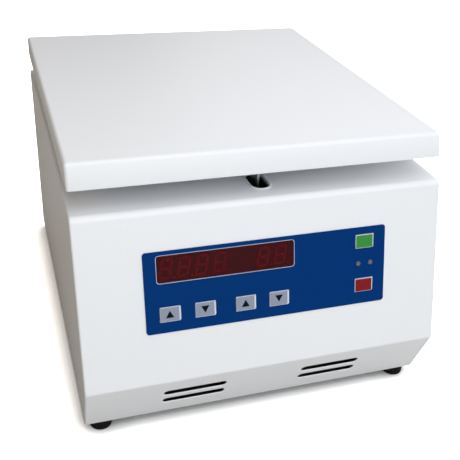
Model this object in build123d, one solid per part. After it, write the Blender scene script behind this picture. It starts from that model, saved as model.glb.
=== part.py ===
from build123d import *
import os
from math import atan2, cos, degrees, radians, sin

# Bench centrifuge with a lid, in millimetres. Z is up, Y runs from the front to the back, and the
# origin is the middle of the footprint, on the table.

# Case
body_width = 270.0
body_depth = 305.0
body_height = 164.5
foot_height = 8.5
front_lean = 31.0
front_drop = 121.5
toe_setback = 13.0
sheet = 1.5
deck_bend_radius = 5.0
toe_bend_radius = 3.0
side_edge_radius = 1.2
flange_width = 9.0
plate_gap = 0.3
rear_reach = 5.1
slot_edge_roll = 0.7

# Feet and screws
foot_top_radius = 8.0
foot_toe_radius = 7.2
foot_toe_chamfer = 0.8
foot_recess_radius = 4.4
foot_recess_depth = 4.0
foot_side_inset = 12.5
foot_front_inset = 8.5
foot_rear_inset = 14.0
screw_radius = 1.5
screw_hole_radius = 1.8
screw_end = 2.0
foot_screw_head = 3.2
foot_screw_head_height = 1.8
case_screw_head = 2.8
case_screw_head_height = 1.6
base_screw_side = 6.0
base_screw_end = 60.0
rear_screw_side = 6.5
rear_screw_end = 30.0
liner_screw_radius = 1.25
liner_screw_head = 3.0
liner_screw_head_height = 1.6
thread_clearance = 0.05

# Lid
lid_gap = 17.0
lid_height = 16.5
lid_front_inset = 10.5
lid_rear_inset = 3.4
lid_front_flare = 6.0
lid_sheet = 1.2
lid_bend_radius = 2.5
liner_recess = 1.0
liner_flange = 6.0
armour_thickness = 3.0
armour_side_inset = 17.0
armour_end_inset = 12.0
press_depth = 3.0
press_gasket_gap = 5.0
press_slope = 4.0
lid_boss_radius = 4.0
lid_boss_depth = 6.0
lid_boss_side = 31.0
lid_boss_inset = 24.0

# Hinges
hinge_side_inset = 51.0
hinge_inset = 4.8
hinge_rise = 8.5
knuckle_radius = 5.5
outer_knuckle = 12.0
middle_knuckle = 16.0
knuckle_gap = 0.5
hinge_pin_radius = 3.0
press_clearance = 0.02
running_clearance = 0.06
hinge_plate = 2.0
hinge_leaf_depth = 18.0
hinge_foot_offset = 13.0
hinge_leaf_offset = 16.0
hinge_arm = 8.0
hinge_pin_head = 1.2
hinge_pin_head_height = 2.0

# Chamber
chamber_offset = 162.0
bowl_radius = 90.0
bowl_sheet = 1.0
bowl_depth = 72.0
bowl_corner = 18.0
bowl_hole_radius = 22.0
collar_height = 12.0
collar_gap = 2.0
collar_wall = 11.0
collar_foot = 3.0
collar_taper = 1.5
bowl_rim_inset = 2.0
gasket_width = 8.0
gasket_lip = 1.5
gasket_groove = 1.2
guard_thickness = 6.0
guard_height = 74.0
guard_gap = 2.5

# Rotor and drive
tube_count = 12
tube_radius = 5.6
tube_depth = 38.0
tube_angle = 45.0
mouth_radius = 36.0
mouth_height = 38.0
rotor_radius = 74.0
rotor_lift = 9.0
skirt_height = 16.0
skirt_chamfer = 3.0
groove_inner = 30.0
groove_outer = 52.0
groove_depth = 4.0
rim_outer = 59.0
rim_inner = 50.0
hub_radius = 24.0
hub_boss_radius = 13.0
hub_boss_height = 31.0
seat_height = 20.0
seat_base_radius = 9.0
seat_top_radius = 7.0
seat_clearance = 0.05
stud_radius = 4.0
shaft_radius = 6.0
shaft_tail = 4.0
shoulder_radius = 11.0
shoulder_height = 5.0
stud_engagement = 6.0
nut_radius = 14.0
nut_height = 13.0
nut_chamfer = 1.5
nut_flutes = 12
flute_radius = 2.4
motor_radius = 46.0
motor_lift = 14.0
motor_wall = 5.0
motor_end_wall = 2.0
motor_neck_radius = 15.0
motor_neck_height = 13.0
neck_drop = 4.0
core_radius = 23.0
core_inset = 12.0
stator_inset = 10.0
air_gap = 0.6
bearing_radius = 12.0
bearing_width = 8.0
mount_plate = 6.0
mount_half = 72.0
mount_corner = 12.0
isolator_offset = 60.0
isolator_radius = 11.0
isolator_waist = 2.5
isolator_flange = 3.0
isolator_height = 16.0
post_radius = 8.0
boot_grip = 7.0
boot_wall = 2.0
boot_rise = 3.0
boot_pitch = 3.0

# Drive board, from its front end backwards
drive_board_side_inset = 38.0
drive_board_start = 50.0
drive_board_width = 48.0
drive_board_length = 150.0
drive_board_rise = 6.0
spacer_radius = 3.0
spacer_inset = 5.0
part_inset = 4.0
transformer_start = 12.0
transformer_length = 38.0
transformer_height = 36.0
capacitors = 2
capacitor_start = 66.0
capacitor_pitch = 25.0
capacitor_radius = 11.0
capacitor_height = 36.0
sink_start = 110.0
sink_length = 30.0
sink_inset = 2.0
sink_base = 5.0
sink_height = 34.0
sink_fins = 7
sink_fin = 2.4

# Front panel, measured down the sloping face from the deck corner
overlay_width = 180.0
overlay_height = 58.8
overlay_top = 28.4
overlay_thickness = 0.6
overlay_corner = 2.2
window_width = 99.6
window_height = 19.8
window_x = -31.3
window_slope = 41.3
window_corner = 2.0
window_rest = 2.2
digit_pitch = 12.7
digit_module_height = 19.0
digit_module_depth = 8.0
speed_digits = 4
speed_digits_x = -55.45
timer_digits = 2
timer_digits_x = 1.6
key_width = 14.9
key_height = 10.9
key_slope = 73.9
key_centres = {"speed_up_key": -72.9, "speed_down_key": -47.8, "time_up_key": -18.2, "time_down_key": 6.9}
button_width = 14.4
button_height = 10.6
button_x = 73.6
start_slope = 39.1
stop_slope = 72.7
key_rise = 1.7
key_bevel = 0.9
key_corner = 1.2
key_play = 0.25
key_flange = 1.2
key_flange_reach = 1.3
key_stem_radius = 2.2
key_stem_gap = 1.0
indicator_radius = 1.8
indicator_slope = 55.7
indicator_x = {"run_indicator": 68.5, "stop_indicator": 78.2}
board_depth = 10.0
board_thickness = 1.6
board_width = 178.0
board_height = 54.0
switch_height = 3.6
switch_size = 6.0
switch_button = 1.6
switch_button_rise = 0.8
standoff_radius = 2.8
standoff_inset = 3.0

# Vents in the toe face
vent_length = 46.6
vent_height = 4.6
vent_x = 53.4
vent_slopes = (15.6, 27.8)
base_slots = 5
base_slot_start = -30.0
base_slot_length = 40.0
base_slot_width = 4.0
base_slot_pitch = 14.0

# Latch
slot_length = 26.0
slot_width = 12.4
slot_front = 14.2
pocket_wall = 1.2
pocket_depth = 24.0
pocket_flange = 4.0
striker_thickness = 1.6
striker_depth = 14.0
striker_front = 22.0
striker_reach = 20.0
striker_window = 8.0
bolt_radius = 3.0
bolt_drop = 12.0
bolt_retract = 3.5
bolt_length = 36.0
solenoid_start = 14.0
solenoid_length = 30.0
solenoid_width = 24.0
bracket_margin = 1.0
coil_radius = 8.0
striker_foot = 14.0
striker_corner = 4.0
lid_switch_length = 20.0
lid_switch_height = 10.0
lid_switch_depth = 6.4
lid_switch_rise = 1.5
plunger_radius = 1.5
terminal_length = 5.0
terminal_pitch = 7.0
terminal_width = 2.4
terminal_thickness = 0.8

# Rear face
fan_size = 80.0
fan_depth = 25.0
fan_x = -52.0
fan_height = 62.0
fan_bore_radius = 37.5
fan_hub_radius = 17.0
fan_blades = 7
fan_slots = 8
fan_slot_width = 4.4
fan_slot_inset = 6.0
fan_hole_offset = 35.75
fan_hole_radius = 2.2
fan_corner = 4.0
fan_strut_width = 5.0
fan_strut_depth = 3.0
fan_spindle_radius = 2.5
fan_spindle_length = 14.0
fan_wheel_gap = 4.0
fan_wheel_depth = 18.0
fan_blade_thickness = 1.6
fan_blade_tilt = 38.0
fan_blade_root = 3.0
fan_tip_gap = 1.0
tab_width = 6.3
tab_thickness = 0.8
tab_length = 8.0
inlet_side_inset = 43.0
inlet_height = 44.0
inlet_wall = 1.5
inlet_width = 24.5
inlet_opening = 17.0
inlet_recess = 16.5
inlet_flange = 2.5
inlet_corner = 5.0
inlet_flange_width = 50.0
inlet_flange_height = 23.0
inlet_flange_corner = 3.0
inlet_screw_offset = 20.0
blade_width = 2.0
blade_height = 4.0
blade_length = 12.0
blade_offset = 7.0
blade_rise = 2.0
mains_switch_spacing = 40.0
mains_switch_width = 22.0
mains_switch_height = 28.0
mains_switch_bezel = 1.5
mains_switch_lip = 1.8
mains_switch_depth = 20.0
mains_switch_wall = 2.0
mains_switch_well = 11.0
mains_tab_x = 5.0
mains_tab_y = 7.0
rocker_pivot = 2.0
rocker_top = 3.0
rocker_root = 3.2
rocker_dip = 2.0
rocker_slope = 2.5
rocker_play = 0.4
rocker_tilt = 10.0

deck_z = foot_height + body_height
front_y = front_lean - (front_lean + body_depth + rear_reach) / 2
rear_y = front_y + body_depth
bend_y = front_y - front_lean
bend_z = deck_z - front_drop
toe_y = front_y - toe_setback
chamber_y = front_y + chamber_offset
lid_z = deck_z + lid_gap
lid_top = lid_z + lid_height
liner_z = lid_z + liner_recess
lid_front_y = front_y + lid_front_inset
lid_rear_y = rear_y - lid_rear_inset
hinge_y = rear_y - hinge_inset
hinge_z = deck_z + hinge_rise
slot_y = front_y + slot_front + slot_length / 2
striker_y = front_y + striker_front + striker_depth / 2
bolt_z = deck_z - bolt_drop
base_top = foot_height + sheet
toe_inside_y = toe_y + sheet * 1.1
bowl_outer = bowl_radius + bowl_sheet
bowl_floor = deck_z - bowl_depth
collar_inner = bowl_outer + collar_gap
collar_outer = collar_inner + collar_wall
gasket_inner = collar_inner
gasket_outer = gasket_inner + gasket_width
press_outer = gasket_inner - press_gasket_gap
press_radius = press_outer - press_slope
rotor_floor = bowl_floor + rotor_lift
motor_neck_top = bowl_floor - neck_drop
motor_top = motor_neck_top - motor_neck_height
motor_bottom = base_top + motor_lift
hinge_x = body_width / 2 - hinge_side_inset
drive_board_x = drive_board_side_inset - body_width / 2
inlet_x = body_width / 2 - inlet_side_inset
mains_switch_x = inlet_x - mains_switch_spacing
fan_front_y = rear_y - sheet - fan_depth
switch_z = deck_z - striker_reach + lid_switch_rise

face_tilt = degrees(atan2(front_lean, front_drop))
toe_tilt = degrees(atan2(front_lean - toe_setback, bend_z - foot_height))
front_plane = Plane(origin=(0, front_y, deck_z), x_dir=(1, 0, 0),
                    z_dir=(0, -cos(radians(face_tilt)), sin(radians(face_tilt))))
toe_plane = Plane(origin=(0, bend_y, bend_z), x_dir=(1, 0, 0),
                  z_dir=(0, -cos(radians(toe_tilt)), -sin(radians(toe_tilt))))


def four_places(x_reach, low, high):
    """Two mirrored columns of two places."""
    return [(x, other) for x in (-x_reach, x_reach) for other in (low, high)]


foot_places = four_places(body_width / 2 - foot_side_inset, toe_y + foot_front_inset,
                          rear_y - foot_rear_inset)
base_screw_places = four_places(body_width / 2 - base_screw_side, front_y + base_screw_end,
                                rear_y - base_screw_end)
rear_screw_places = four_places(body_width / 2 - rear_screw_side, foot_height + rear_screw_end,
                                deck_z - rear_screw_end)
lid_boss_places = four_places(body_width / 2 - lid_boss_side, lid_front_y + lid_boss_inset,
                              lid_rear_y - lid_boss_inset)
isolator_places = four_places(isolator_offset, chamber_y - isolator_offset, chamber_y + isolator_offset)


def at_front(x, slope, out=0.0):
    """Place on the sloping front face: across, down the slope, and out of it."""
    return front_plane.location * Pos(x, -slope, out)


def at_toe(x, slope, out=0.0):
    """Place on the face that turns back under the front."""
    return toe_plane.location * Pos(x, -slope, out)


def at_chamber(z=0.0):
    """Place on the rotor's axis."""
    return Pos(0, chamber_y, z)


def corner(shape, y, z):
    """The vertex of a side outline nearest to a point."""
    return shape.vertices().sort_by_distance((0, y, z))[0]


def box_between(x, y, z):
    """A box from three (low, high) pairs."""
    size = [high - low for low, high in (x, y, z)]
    middle = [(high + low) / 2 for low, high in (x, y, z)]
    return Pos(*middle) * Box(*size)


def standing(radius, height):
    """A cylinder that stands on its place."""
    return Cylinder(radius, height, align=(Align.CENTER, Align.CENTER, Align.MIN))


def ring(outer, inner, low, high):
    """A ring about the rotor's axis."""
    profile = Rectangle(outer - inner, high - low, align=(Align.MIN, Align.MIN))
    return at_chamber() * revolve(Plane.XZ * Pos(inner, low) * profile, Axis.Z)


def turned(points):
    """A solid of revolution about the rotor's axis, from (radius, height) points."""
    return at_chamber() * revolve(Plane.XZ * make_face(Polyline(points, close=True)), Axis.Z)


def case_outline():
    """Side outline of the case, with its bends."""
    points = [(front_y, deck_z), (bend_y, bend_z), (toe_y, foot_height),
              (rear_y, foot_height), (rear_y, deck_z)]
    face = Plane.YZ * make_face(Polyline(points, close=True))
    face = fillet(corner(face, front_y, deck_z), deck_bend_radius)
    return fillet(corner(face, bend_y, bend_z), toe_bend_radius)


def side_edges(solid):
    """The edges of a solid that lie on the two sides of the case."""
    return solid.edges().filter_by(lambda e: abs(abs(e.center().X) - body_width / 2) < 0.01)


def front_cutters():
    """Windows through the front sheet for the display, the keys and the indicators."""
    depth = sheet + 1
    place = at_front(window_x, window_slope, -depth / 2)
    window = place * Box(window_width - 2 * window_rest, window_height - 2 * window_rest, 2 * depth)
    keys = [at_front(x, s, -depth / 2) * Box(w + 2 * key_play, h + 2 * key_play, 2 * depth)
            for x, s, w, h in key_layout().values()]
    lamps = [at_front(x, indicator_slope, -depth / 2) * Cylinder(indicator_radius + 0.1, 2 * depth)
             for x in indicator_x.values()]
    return [window] + keys + lamps


def key_layout():
    """Place and size of each key: across, down the slope, width, height."""
    layout = {name: (x, key_slope, key_width, key_height) for name, x in key_centres.items()}
    layout["start_key"] = (button_x, start_slope, button_width, button_height)
    layout["stop_key"] = (button_x, stop_slope, button_width, button_height)
    return layout


def vent_cutters():
    """The slots in the toe face."""
    slot = extrude(SlotOverall(vent_length, vent_height), 4 * sheet, both=True)
    return [at_toe(side * vent_x, slope, -sheet) * slot for side in (-1, 1) for slope in vent_slopes]


def rolled(shell, place, length, width):
    """Round the outer edge of a slot, as the press leaves it."""
    def on_rim(edge):
        at = place.to_local_coords(edge.center())
        return abs(at.Z) < 0.01 and abs(at.X) < length / 2 + 0.1 and abs(at.Y) < width / 2 + 0.1
    return fillet(shell.edges().filter_by(on_rim), slot_edge_roll)


def housing_shell():
    """The bent case: deck, front, toe and sides, open below and behind."""
    outline = case_outline()
    outer = fillet(side_edges(extrude(outline, body_width / 2, both=True)), side_edge_radius)
    inner = extrude(offset(outline, -sheet, kind=Kind.INTERSECTION), body_width / 2 - sheet, both=True)
    inside = body_width / 2 - sheet
    low = foot_height - 1
    below = box_between((-inside, inside), (toe_inside_y, rear_y + 1), (low, foot_height + 2 * sheet))
    behind = box_between((-inside, inside), (rear_y - 2 * sheet, rear_y + 1), (low, deck_z - sheet))
    shell = outer - inner - below - behind
    shell += bottom_flanges() + rear_flanges()
    shell -= at_chamber(deck_z) * Cylinder(collar_inner - 1, 4 * sheet)
    slot = extrude(SlotOverall(slot_length, slot_width), 4 * sheet, both=True)
    shell -= Pos(0, slot_y, deck_z) * Rot(0, 0, 90) * slot
    for cutter in front_cutters() + vent_cutters():
        shell -= cutter
    for x, y in foot_places + base_screw_places:
        shell -= Pos(x, y, base_top) * Cylinder(screw_hole_radius, 4 * sheet)
    for x, z in rear_screw_places:
        shell -= Pos(x, rear_y - 2 * sheet, z) * Rot(90, 0, 0) * Cylinder(screw_hole_radius, 3 * sheet)
    shell = rolled(shell, Plane((0, slot_y, deck_z), x_dir=(0, 1, 0)), slot_length, slot_width)
    for side in (-1, 1):
        for slope in vent_slopes:
            shell = rolled(shell, Plane(at_toe(side * vent_x, slope)), vent_length, vent_height)
    return shell


def bottom_flanges():
    """Flanges turned in along the bottom, above the base plate."""
    inside = body_width / 2 - sheet
    frame = box_between((-inside, inside), (toe_y, rear_y - 3 * sheet), (base_top, base_top + sheet))
    hole = box_between((flange_width - inside, inside - flange_width),
                       (toe_inside_y + flange_width + 2, rear_y), (base_top - 1, base_top + sheet + 1))
    return frame - hole


def rear_flanges():
    """Flanges turned in at the back of each side."""
    inside = body_width / 2 - sheet
    low, high = rear_y - 2 * sheet, rear_y - sheet
    return [box_between(tuple(sorted((side * inside, side * (inside - flange_width)))), (low, high),
                        (base_top + 2 * sheet, deck_z - sheet)) for side in (-1, 1)]


def base_plate():
    """Floor of the case, with a row of air slots under the drive board."""
    inside = body_width / 2 - sheet - plate_gap
    span = (toe_inside_y + plate_gap, rear_y - sheet - plate_gap)
    plate = box_between((-inside, inside), span, (foot_height, base_top))
    for x, y in foot_places + base_screw_places:
        plate -= Pos(x, y, base_top) * Cylinder(screw_hole_radius, 4 * sheet)
    slot = extrude(SlotOverall(base_slot_length, base_slot_width), 3 * sheet, both=True)
    for row in range(base_slots):
        y = chamber_y + base_slot_start + base_slot_pitch * row
        plate -= Pos(drive_board_x, y, base_top) * slot
    return plate


def rear_panel():
    """Back of the case, with the fan's slots and the openings for the inlet and the mains switch."""
    inside = body_width / 2 - sheet - plate_gap
    rise = (foot_height, deck_z - sheet - plate_gap)
    panel = box_between((-inside, inside), (rear_y - sheet, rear_y), rise)
    wall = Pos(0, rear_y, 0) * Rot(90, 0, 0)
    half = fan_size / 2 - fan_slot_inset
    first = fan_slot_width - half
    pitch = -2 * first / (fan_slots - 1)
    for row in range(fan_slots):
        rise = first + row * pitch
        length = 2 * (half**2 - rise**2) ** 0.5
        slot = extrude(SlotOverall(length, fan_slot_width), 3 * sheet, both=True)
        panel -= wall * Pos(fan_x, fan_height + rise, 0) * slot
    socket = Box(inlet_width + 2 * inlet_wall + 0.4, inlet_opening + 2 * inlet_wall + 0.4, 4 * sheet)
    panel -= wall * Pos(inlet_x, inlet_height, 0) * socket
    switch_hole = Box(mains_switch_width, mains_switch_height, 4 * sheet)
    panel -= wall * Pos(mains_switch_x, inlet_height, 0) * switch_hole
    for x, z in rear_screw_places:
        panel -= wall * Pos(x, z, 0) * Cylinder(screw_hole_radius, 4 * sheet)
    for x, z in four_places(fan_hole_offset, -fan_hole_offset, fan_hole_offset):
        panel -= wall * Pos(fan_x + x, fan_height + z, 0) * Cylinder(fan_hole_radius, 4 * sheet)
    return panel


def foot():
    """A rubber foot that narrows to the table, hollow for its screw."""
    profile = [(screw_hole_radius, foot_recess_depth), (foot_recess_radius, foot_recess_depth),
               (foot_recess_radius, 0), (foot_toe_radius - foot_toe_chamfer, 0),
               (foot_toe_radius, foot_toe_chamfer), (foot_top_radius, foot_height),
               (screw_hole_radius, foot_height)]
    return revolve(Plane.XZ * make_face(Polyline(profile, close=True)), Axis.Z)


def pan_screw(head_radius, head_height, shank_radius, length):
    """A screw with its head down and its shank up, from the head's bearing face."""
    head = Cylinder(head_radius, head_height, align=(Align.CENTER, Align.CENTER, Align.MAX))
    head = chamfer(head.edges().filter_by(GeomType.CIRCLE).sort_by(Axis.Z)[0], head_height / 3)
    return head + standing(shank_radius, length)


def foot_screws():
    """One screw up through each foot."""
    length = base_top + sheet + screw_end - foot_recess_depth
    one = pan_screw(foot_screw_head, foot_screw_head_height, screw_radius, length)
    return Compound([Pos(x, y, foot_recess_depth) * one for x, y in foot_places])


def case_screws():
    """Screws that hold the base plate and the rear panel."""
    one = pan_screw(case_screw_head, case_screw_head_height, screw_radius, 2 * sheet + screw_end)
    base = [Pos(x, y, foot_height) * one for x, y in base_screw_places]
    rear = [Pos(x, rear_y, z) * Rot(90, 0, 0) * one for x, z in rear_screw_places]
    return Compound(base + rear)


def panel_overlay():
    """Thin control panel on the front sheet."""
    sketch = RectangleRounded(overlay_width, overlay_height, overlay_corner)
    overlay = at_front(0, overlay_top + overlay_height / 2) * extrude(sketch, overlay_thickness)
    cut = 4 * overlay_thickness
    overlay -= at_front(window_x, window_slope) * extrude(
        RectangleRounded(window_width, window_height, window_corner), cut)
    for x, slope, width, height in key_layout().values():
        sketch = RectangleRounded(width + 2 * key_play, height + 2 * key_play, key_corner)
        overlay -= at_front(x, slope) * extrude(sketch, cut)
    for x in indicator_x.values():
        overlay -= at_front(x, indicator_slope) * extrude(Circle(indicator_radius + 0.1), cut)
    return overlay


def display_window():
    """Red filter in front of the digits."""
    sketch = RectangleRounded(window_width - 0.1, window_height - 0.1, window_corner)
    return at_front(window_x, window_slope) * extrude(sketch, overlay_thickness)


def digit_module(count, x):
    """A block of seven-segment digits standing on the control board."""
    return at_front(x, window_slope, digit_module_depth / 2 - board_depth) * Box(
        count * digit_pitch - 0.4, digit_module_height, digit_module_depth)


def key(name):
    """A bevelled key with a flange behind the sheet and a stem over its switch."""
    x, slope, width, height = key_layout()[name]
    cap = at_front(x, slope, -sheet) * extrude(RectangleRounded(width, height, key_corner), sheet + key_rise)
    cap = chamfer(cap.faces().sort_by(front_axis())[-1].edges(), key_bevel)
    skirt = at_front(x, slope, -sheet) * extrude(
        Rectangle(width + 2 * key_flange_reach, height + 2 * key_flange_reach), -key_flange)
    stem_length = board_depth - switch_height - sheet - key_flange - key_stem_gap
    stem = at_front(x, slope, -sheet - key_flange) * extrude(Circle(key_stem_radius), -stem_length)
    return cap + skirt + stem


def front_axis():
    """Direction out of the front face."""
    return Axis((0, 0, 0), tuple(front_plane.z_dir))


def indicator(x):
    """A lamp lens with its leaded body behind it."""
    lens = at_front(x, indicator_slope, -board_depth) * extrude(Circle(indicator_radius), board_depth + 0.9)
    dome = at_front(x, indicator_slope, 0.9) * Sphere(indicator_radius)
    keep = at_front(x, indicator_slope) * extrude(Circle(indicator_radius), 1.6)
    return lens + (dome & keep)


def control_board():
    """Circuit board behind the panel."""
    slope = overlay_top + overlay_height / 2
    board = at_front(0, slope, -board_depth - board_thickness) * extrude(
        Rectangle(board_width, board_height), board_thickness)
    return board


def board_places():
    """Corners where the control board is held: across and down the slope."""
    slope = overlay_top + overlay_height / 2
    half = board_height / 2 - standoff_inset
    return four_places(board_width / 2 - standoff_inset, slope - half, slope + half)


def board_standoffs():
    """Spacers between the front sheet and the control board."""
    return Compound([at_front(x, s, -sheet) * extrude(Circle(standoff_radius), sheet - board_depth)
                     for x, s in board_places()])


def key_switches():
    """One tact switch under each key."""
    blocks = []
    for x, slope, _, _ in key_layout().values():
        block = extrude(Rectangle(switch_size, switch_size), switch_height - switch_button_rise)
        block += extrude(Circle(switch_button), switch_height)
        blocks.append(at_front(x, slope, -board_depth) * block)
    return Compound(blocks)


def lid_outline():
    """Side outline of the lid, with its bends."""
    points = [(lid_front_y - lid_front_flare, lid_z), (lid_front_y, lid_top),
              (lid_rear_y, lid_top), (lid_rear_y, lid_z)]
    face = Plane.YZ * make_face(Polyline(points, close=True))
    face = fillet(corner(face, lid_front_y, lid_top), lid_bend_radius)
    return fillet(corner(face, lid_rear_y, lid_top), lid_bend_radius)


def lid_cover():
    """The flat pan of the lid, with four bosses that clamp what is inside it."""
    outline = lid_outline()
    outer = extrude(outline, body_width / 2, both=True)
    edges = side_edges(outer).filter_by(lambda e: e.center().Z > lid_z + 0.1)
    outer = fillet(edges, lid_bend_radius - 0.1)
    inside = body_width / 2 - lid_sheet
    inner = extrude(offset(outline, -lid_sheet, kind=Kind.INTERSECTION), inside, both=True)
    mouth = (lid_front_y - lid_front_flare + lid_sheet * 1.06, lid_rear_y - lid_sheet)
    pan = outer - inner - box_between((-inside, inside), mouth, (lid_z - 1, lid_z + 1.3 * lid_sheet))
    foot_z = liner_z + lid_sheet + armour_thickness
    bore = liner_screw_radius + thread_clearance
    for x, y in lid_boss_places:
        pan += Pos(x, y, foot_z) * standing(lid_boss_radius, lid_top - lid_sheet / 2 - foot_z)
        pan -= Pos(x, y, foot_z) * Cylinder(bore, 2 * lid_boss_depth)
    return pan


def lid_armour_plate():
    """Thick plate over the chamber, inside the lid."""
    low = liner_z + lid_sheet
    half = body_width / 2 - armour_side_inset
    span = (lid_front_y + armour_end_inset, lid_rear_y - armour_end_inset)
    plate = box_between((-half, half), span, (low, low + armour_thickness))
    for x, y in lid_boss_places:
        plate -= Pos(x, y, low) * Cylinder(screw_hole_radius, 4 * armour_thickness)
    return plate


def lid_liner():
    """Underside of the lid: a tray with a pressed disc over the chamber."""
    inside = body_width / 2 - lid_sheet - plate_gap
    front = lid_front_y - 1
    back = lid_rear_y - lid_sheet - plate_gap
    tray = box_between((-inside, inside), (front, back), (liner_z, liner_z + liner_flange))
    tray -= box_between((lid_sheet - inside, inside - lid_sheet), (front + lid_sheet, back - lid_sheet),
                        (liner_z + lid_sheet, liner_z + 2 * liner_flange))
    tray -= at_chamber(liner_z) * Cylinder(press_outer, 4 * lid_sheet)
    low = liner_z - press_depth
    dish = [(press_outer, liner_z), (press_radius, low), (0, low), (0, low + lid_sheet),
            (press_radius - lid_sheet / 2, low + lid_sheet),
            (press_outer - lid_sheet / 2, liner_z + lid_sheet), (press_outer, liner_z + lid_sheet)]
    tray += turned(dish)
    for x, y in lid_boss_places:
        tray -= Pos(x, y, liner_z) * Cylinder(screw_hole_radius, 4 * lid_sheet)
    return tray


def liner_screws():
    """Screws that hold the liner and the armour plate to the lid's bosses."""
    length = lid_sheet + armour_thickness + lid_boss_depth - 1
    one = pan_screw(liner_screw_head, liner_screw_head_height, liner_screw_radius, length)
    return Compound([Pos(x, y, liner_z) * one for x, y in lid_boss_places])


def lid_striker():
    """Bent steel striker that hangs from the lid into the latch slot."""
    half = striker_thickness / 2
    span = (striker_y - striker_depth / 2, striker_y + striker_depth / 2)
    blade = box_between((-half, half), span, (deck_z - striker_reach, liner_z))
    blade = fillet(blade.edges().filter_by(Axis.X).group_by(Axis.Z)[0], striker_corner)
    blade -= Pos(0, striker_y, bolt_z) * Box(2 * striker_thickness, striker_window, striker_window)
    return blade + box_between((-half, striker_foot), span, (liner_z - striker_thickness, liner_z))


def hinge_foot_profile():
    """Side outline of the plate on the deck."""
    place = Pos(hinge_y - hinge_foot_offset, deck_z + hinge_plate / 2)
    return place * Rectangle(hinge_leaf_depth, hinge_plate)


def hinge_base_profile():
    """Side outline of the fixed hinge bracket: a foot on the deck and an arm up to the knuckle."""
    side = knuckle_radius * 0.9
    arm = make_face(Polyline([(hinge_y + 1 - hinge_arm, deck_z), (hinge_y + 1, deck_z),
                              (hinge_y + side, hinge_z), (hinge_y - side, hinge_z)], close=True))
    return hinge_foot_profile() + arm + Pos(hinge_y, hinge_z) * Circle(knuckle_radius)


def hinge_leaf_profile():
    """Side outline of the leaf under the lid, with its arm down to the knuckle."""
    low = liner_z - hinge_plate
    leaf = Pos(hinge_y - hinge_leaf_offset, low + hinge_plate / 2) * Rectangle(hinge_leaf_depth, hinge_plate)
    arm = make_face(Polyline([(hinge_y - 1 - hinge_arm, liner_z), (hinge_y - 1, liner_z),
                              (hinge_y + knuckle_radius * 0.75, hinge_z + knuckle_radius * 0.6),
                              (hinge_y - knuckle_radius * 0.9, hinge_z)], close=True))
    return leaf + arm + Pos(hinge_y, hinge_z) * Circle(knuckle_radius)


def hinge_bore(radius):
    """Hole along the hinge line."""
    return Pos(0, hinge_y, hinge_z) * Rot(0, 90, 0) * Cylinder(radius, 2 * body_width)


def hinge_bracket(x):
    """Fixed half of a hinge: two knuckles on one foot plate."""
    inner = middle_knuckle / 2 + knuckle_gap
    outer = inner + outer_knuckle
    bracket = Pos(x, 0, 0) * extrude(Plane.YZ * hinge_foot_profile(), outer, both=True)
    for side in (-1, 1):
        place = Pos(x + side * (inner + outer) / 2, 0, 0)
        bracket += place * extrude(Plane.YZ * hinge_base_profile(), outer_knuckle / 2, both=True)
    return bracket - hinge_bore(hinge_pin_radius + press_clearance)


def hinge_leaf(x):
    """Moving half of a hinge: one knuckle under the lid."""
    leaf = Pos(x, 0, 0) * extrude(Plane.YZ * hinge_leaf_profile(), middle_knuckle / 2, both=True)
    return leaf - hinge_bore(hinge_pin_radius + running_clearance)


def hinge_pins():
    """A headed pin through each hinge."""
    pins = []
    reach = middle_knuckle / 2 + knuckle_gap + outer_knuckle
    for side in (-1, 1):
        place = Pos(side * hinge_x, hinge_y, hinge_z) * Rot(0, 90, 0)
        pin = Cylinder(hinge_pin_radius, 2 * reach + hinge_pin_head_height)
        head = Cylinder(hinge_pin_radius + hinge_pin_head, hinge_pin_head_height)
        head = Pos(0, 0, side * (reach + hinge_pin_head_height / 2)) * head
        pins.append(place * (pin + head))
    return Compound(pins)


def chamber_bowl():
    """Deep-drawn bowl with a rolled rim and a hole for the motor's neck."""
    top = deck_z + collar_height
    low = bowl_floor - bowl_sheet
    flat_end = bowl_outer - bowl_corner
    wall_foot = low + bowl_corner
    rim = collar_outer - bowl_rim_inset
    with BuildSketch(Plane.XZ) as section:
        with BuildLine():
            Polyline((bowl_hole_radius, bowl_floor), (bowl_hole_radius, low), (flat_end, low))
            RadiusArc((flat_end, low), (bowl_outer, wall_foot), -bowl_corner)
            Polyline((bowl_outer, wall_foot), (bowl_outer, top), (rim, top), (rim, top + bowl_sheet),
                     (bowl_radius, top + bowl_sheet), (bowl_radius, wall_foot))
            RadiusArc((bowl_radius, wall_foot), (flat_end, bowl_floor), bowl_corner - bowl_sheet)
            Line((flat_end, bowl_floor), (bowl_hole_radius, bowl_floor))
        make_face()
    return at_chamber() * revolve(section.sketch, Axis.Z)


def chamber_collar():
    """Moulded ring that lifts the bowl's rim above the deck."""
    low, high = deck_z, deck_z + collar_height
    points = [(collar_inner, low), (collar_outer, low), (collar_outer, low + collar_foot),
              (collar_outer - collar_taper, high), (collar_inner, high)]
    return turned(points)


def chamber_gasket():
    """Rubber ring that the closed lid presses on."""
    low = deck_z + collar_height + bowl_sheet
    high = liner_z
    groove = (gasket_inner + gasket_outer) / 2
    lip, step = gasket_lip, gasket_groove
    points = [(gasket_inner, low), (gasket_outer, low), (gasket_outer, high - lip),
              (gasket_outer - step, high),
              (groove + step, high), (groove, high - step), (groove - step, high),
              (gasket_inner + step, high), (gasket_inner, high - lip)]
    return turned(points)


def containment_ring():
    """Heavy ring round the bowl that would catch the rotor."""
    inner = bowl_outer + guard_gap
    high = deck_z - sheet
    return ring(inner + guard_thickness, inner, high - guard_height, high)


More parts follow.
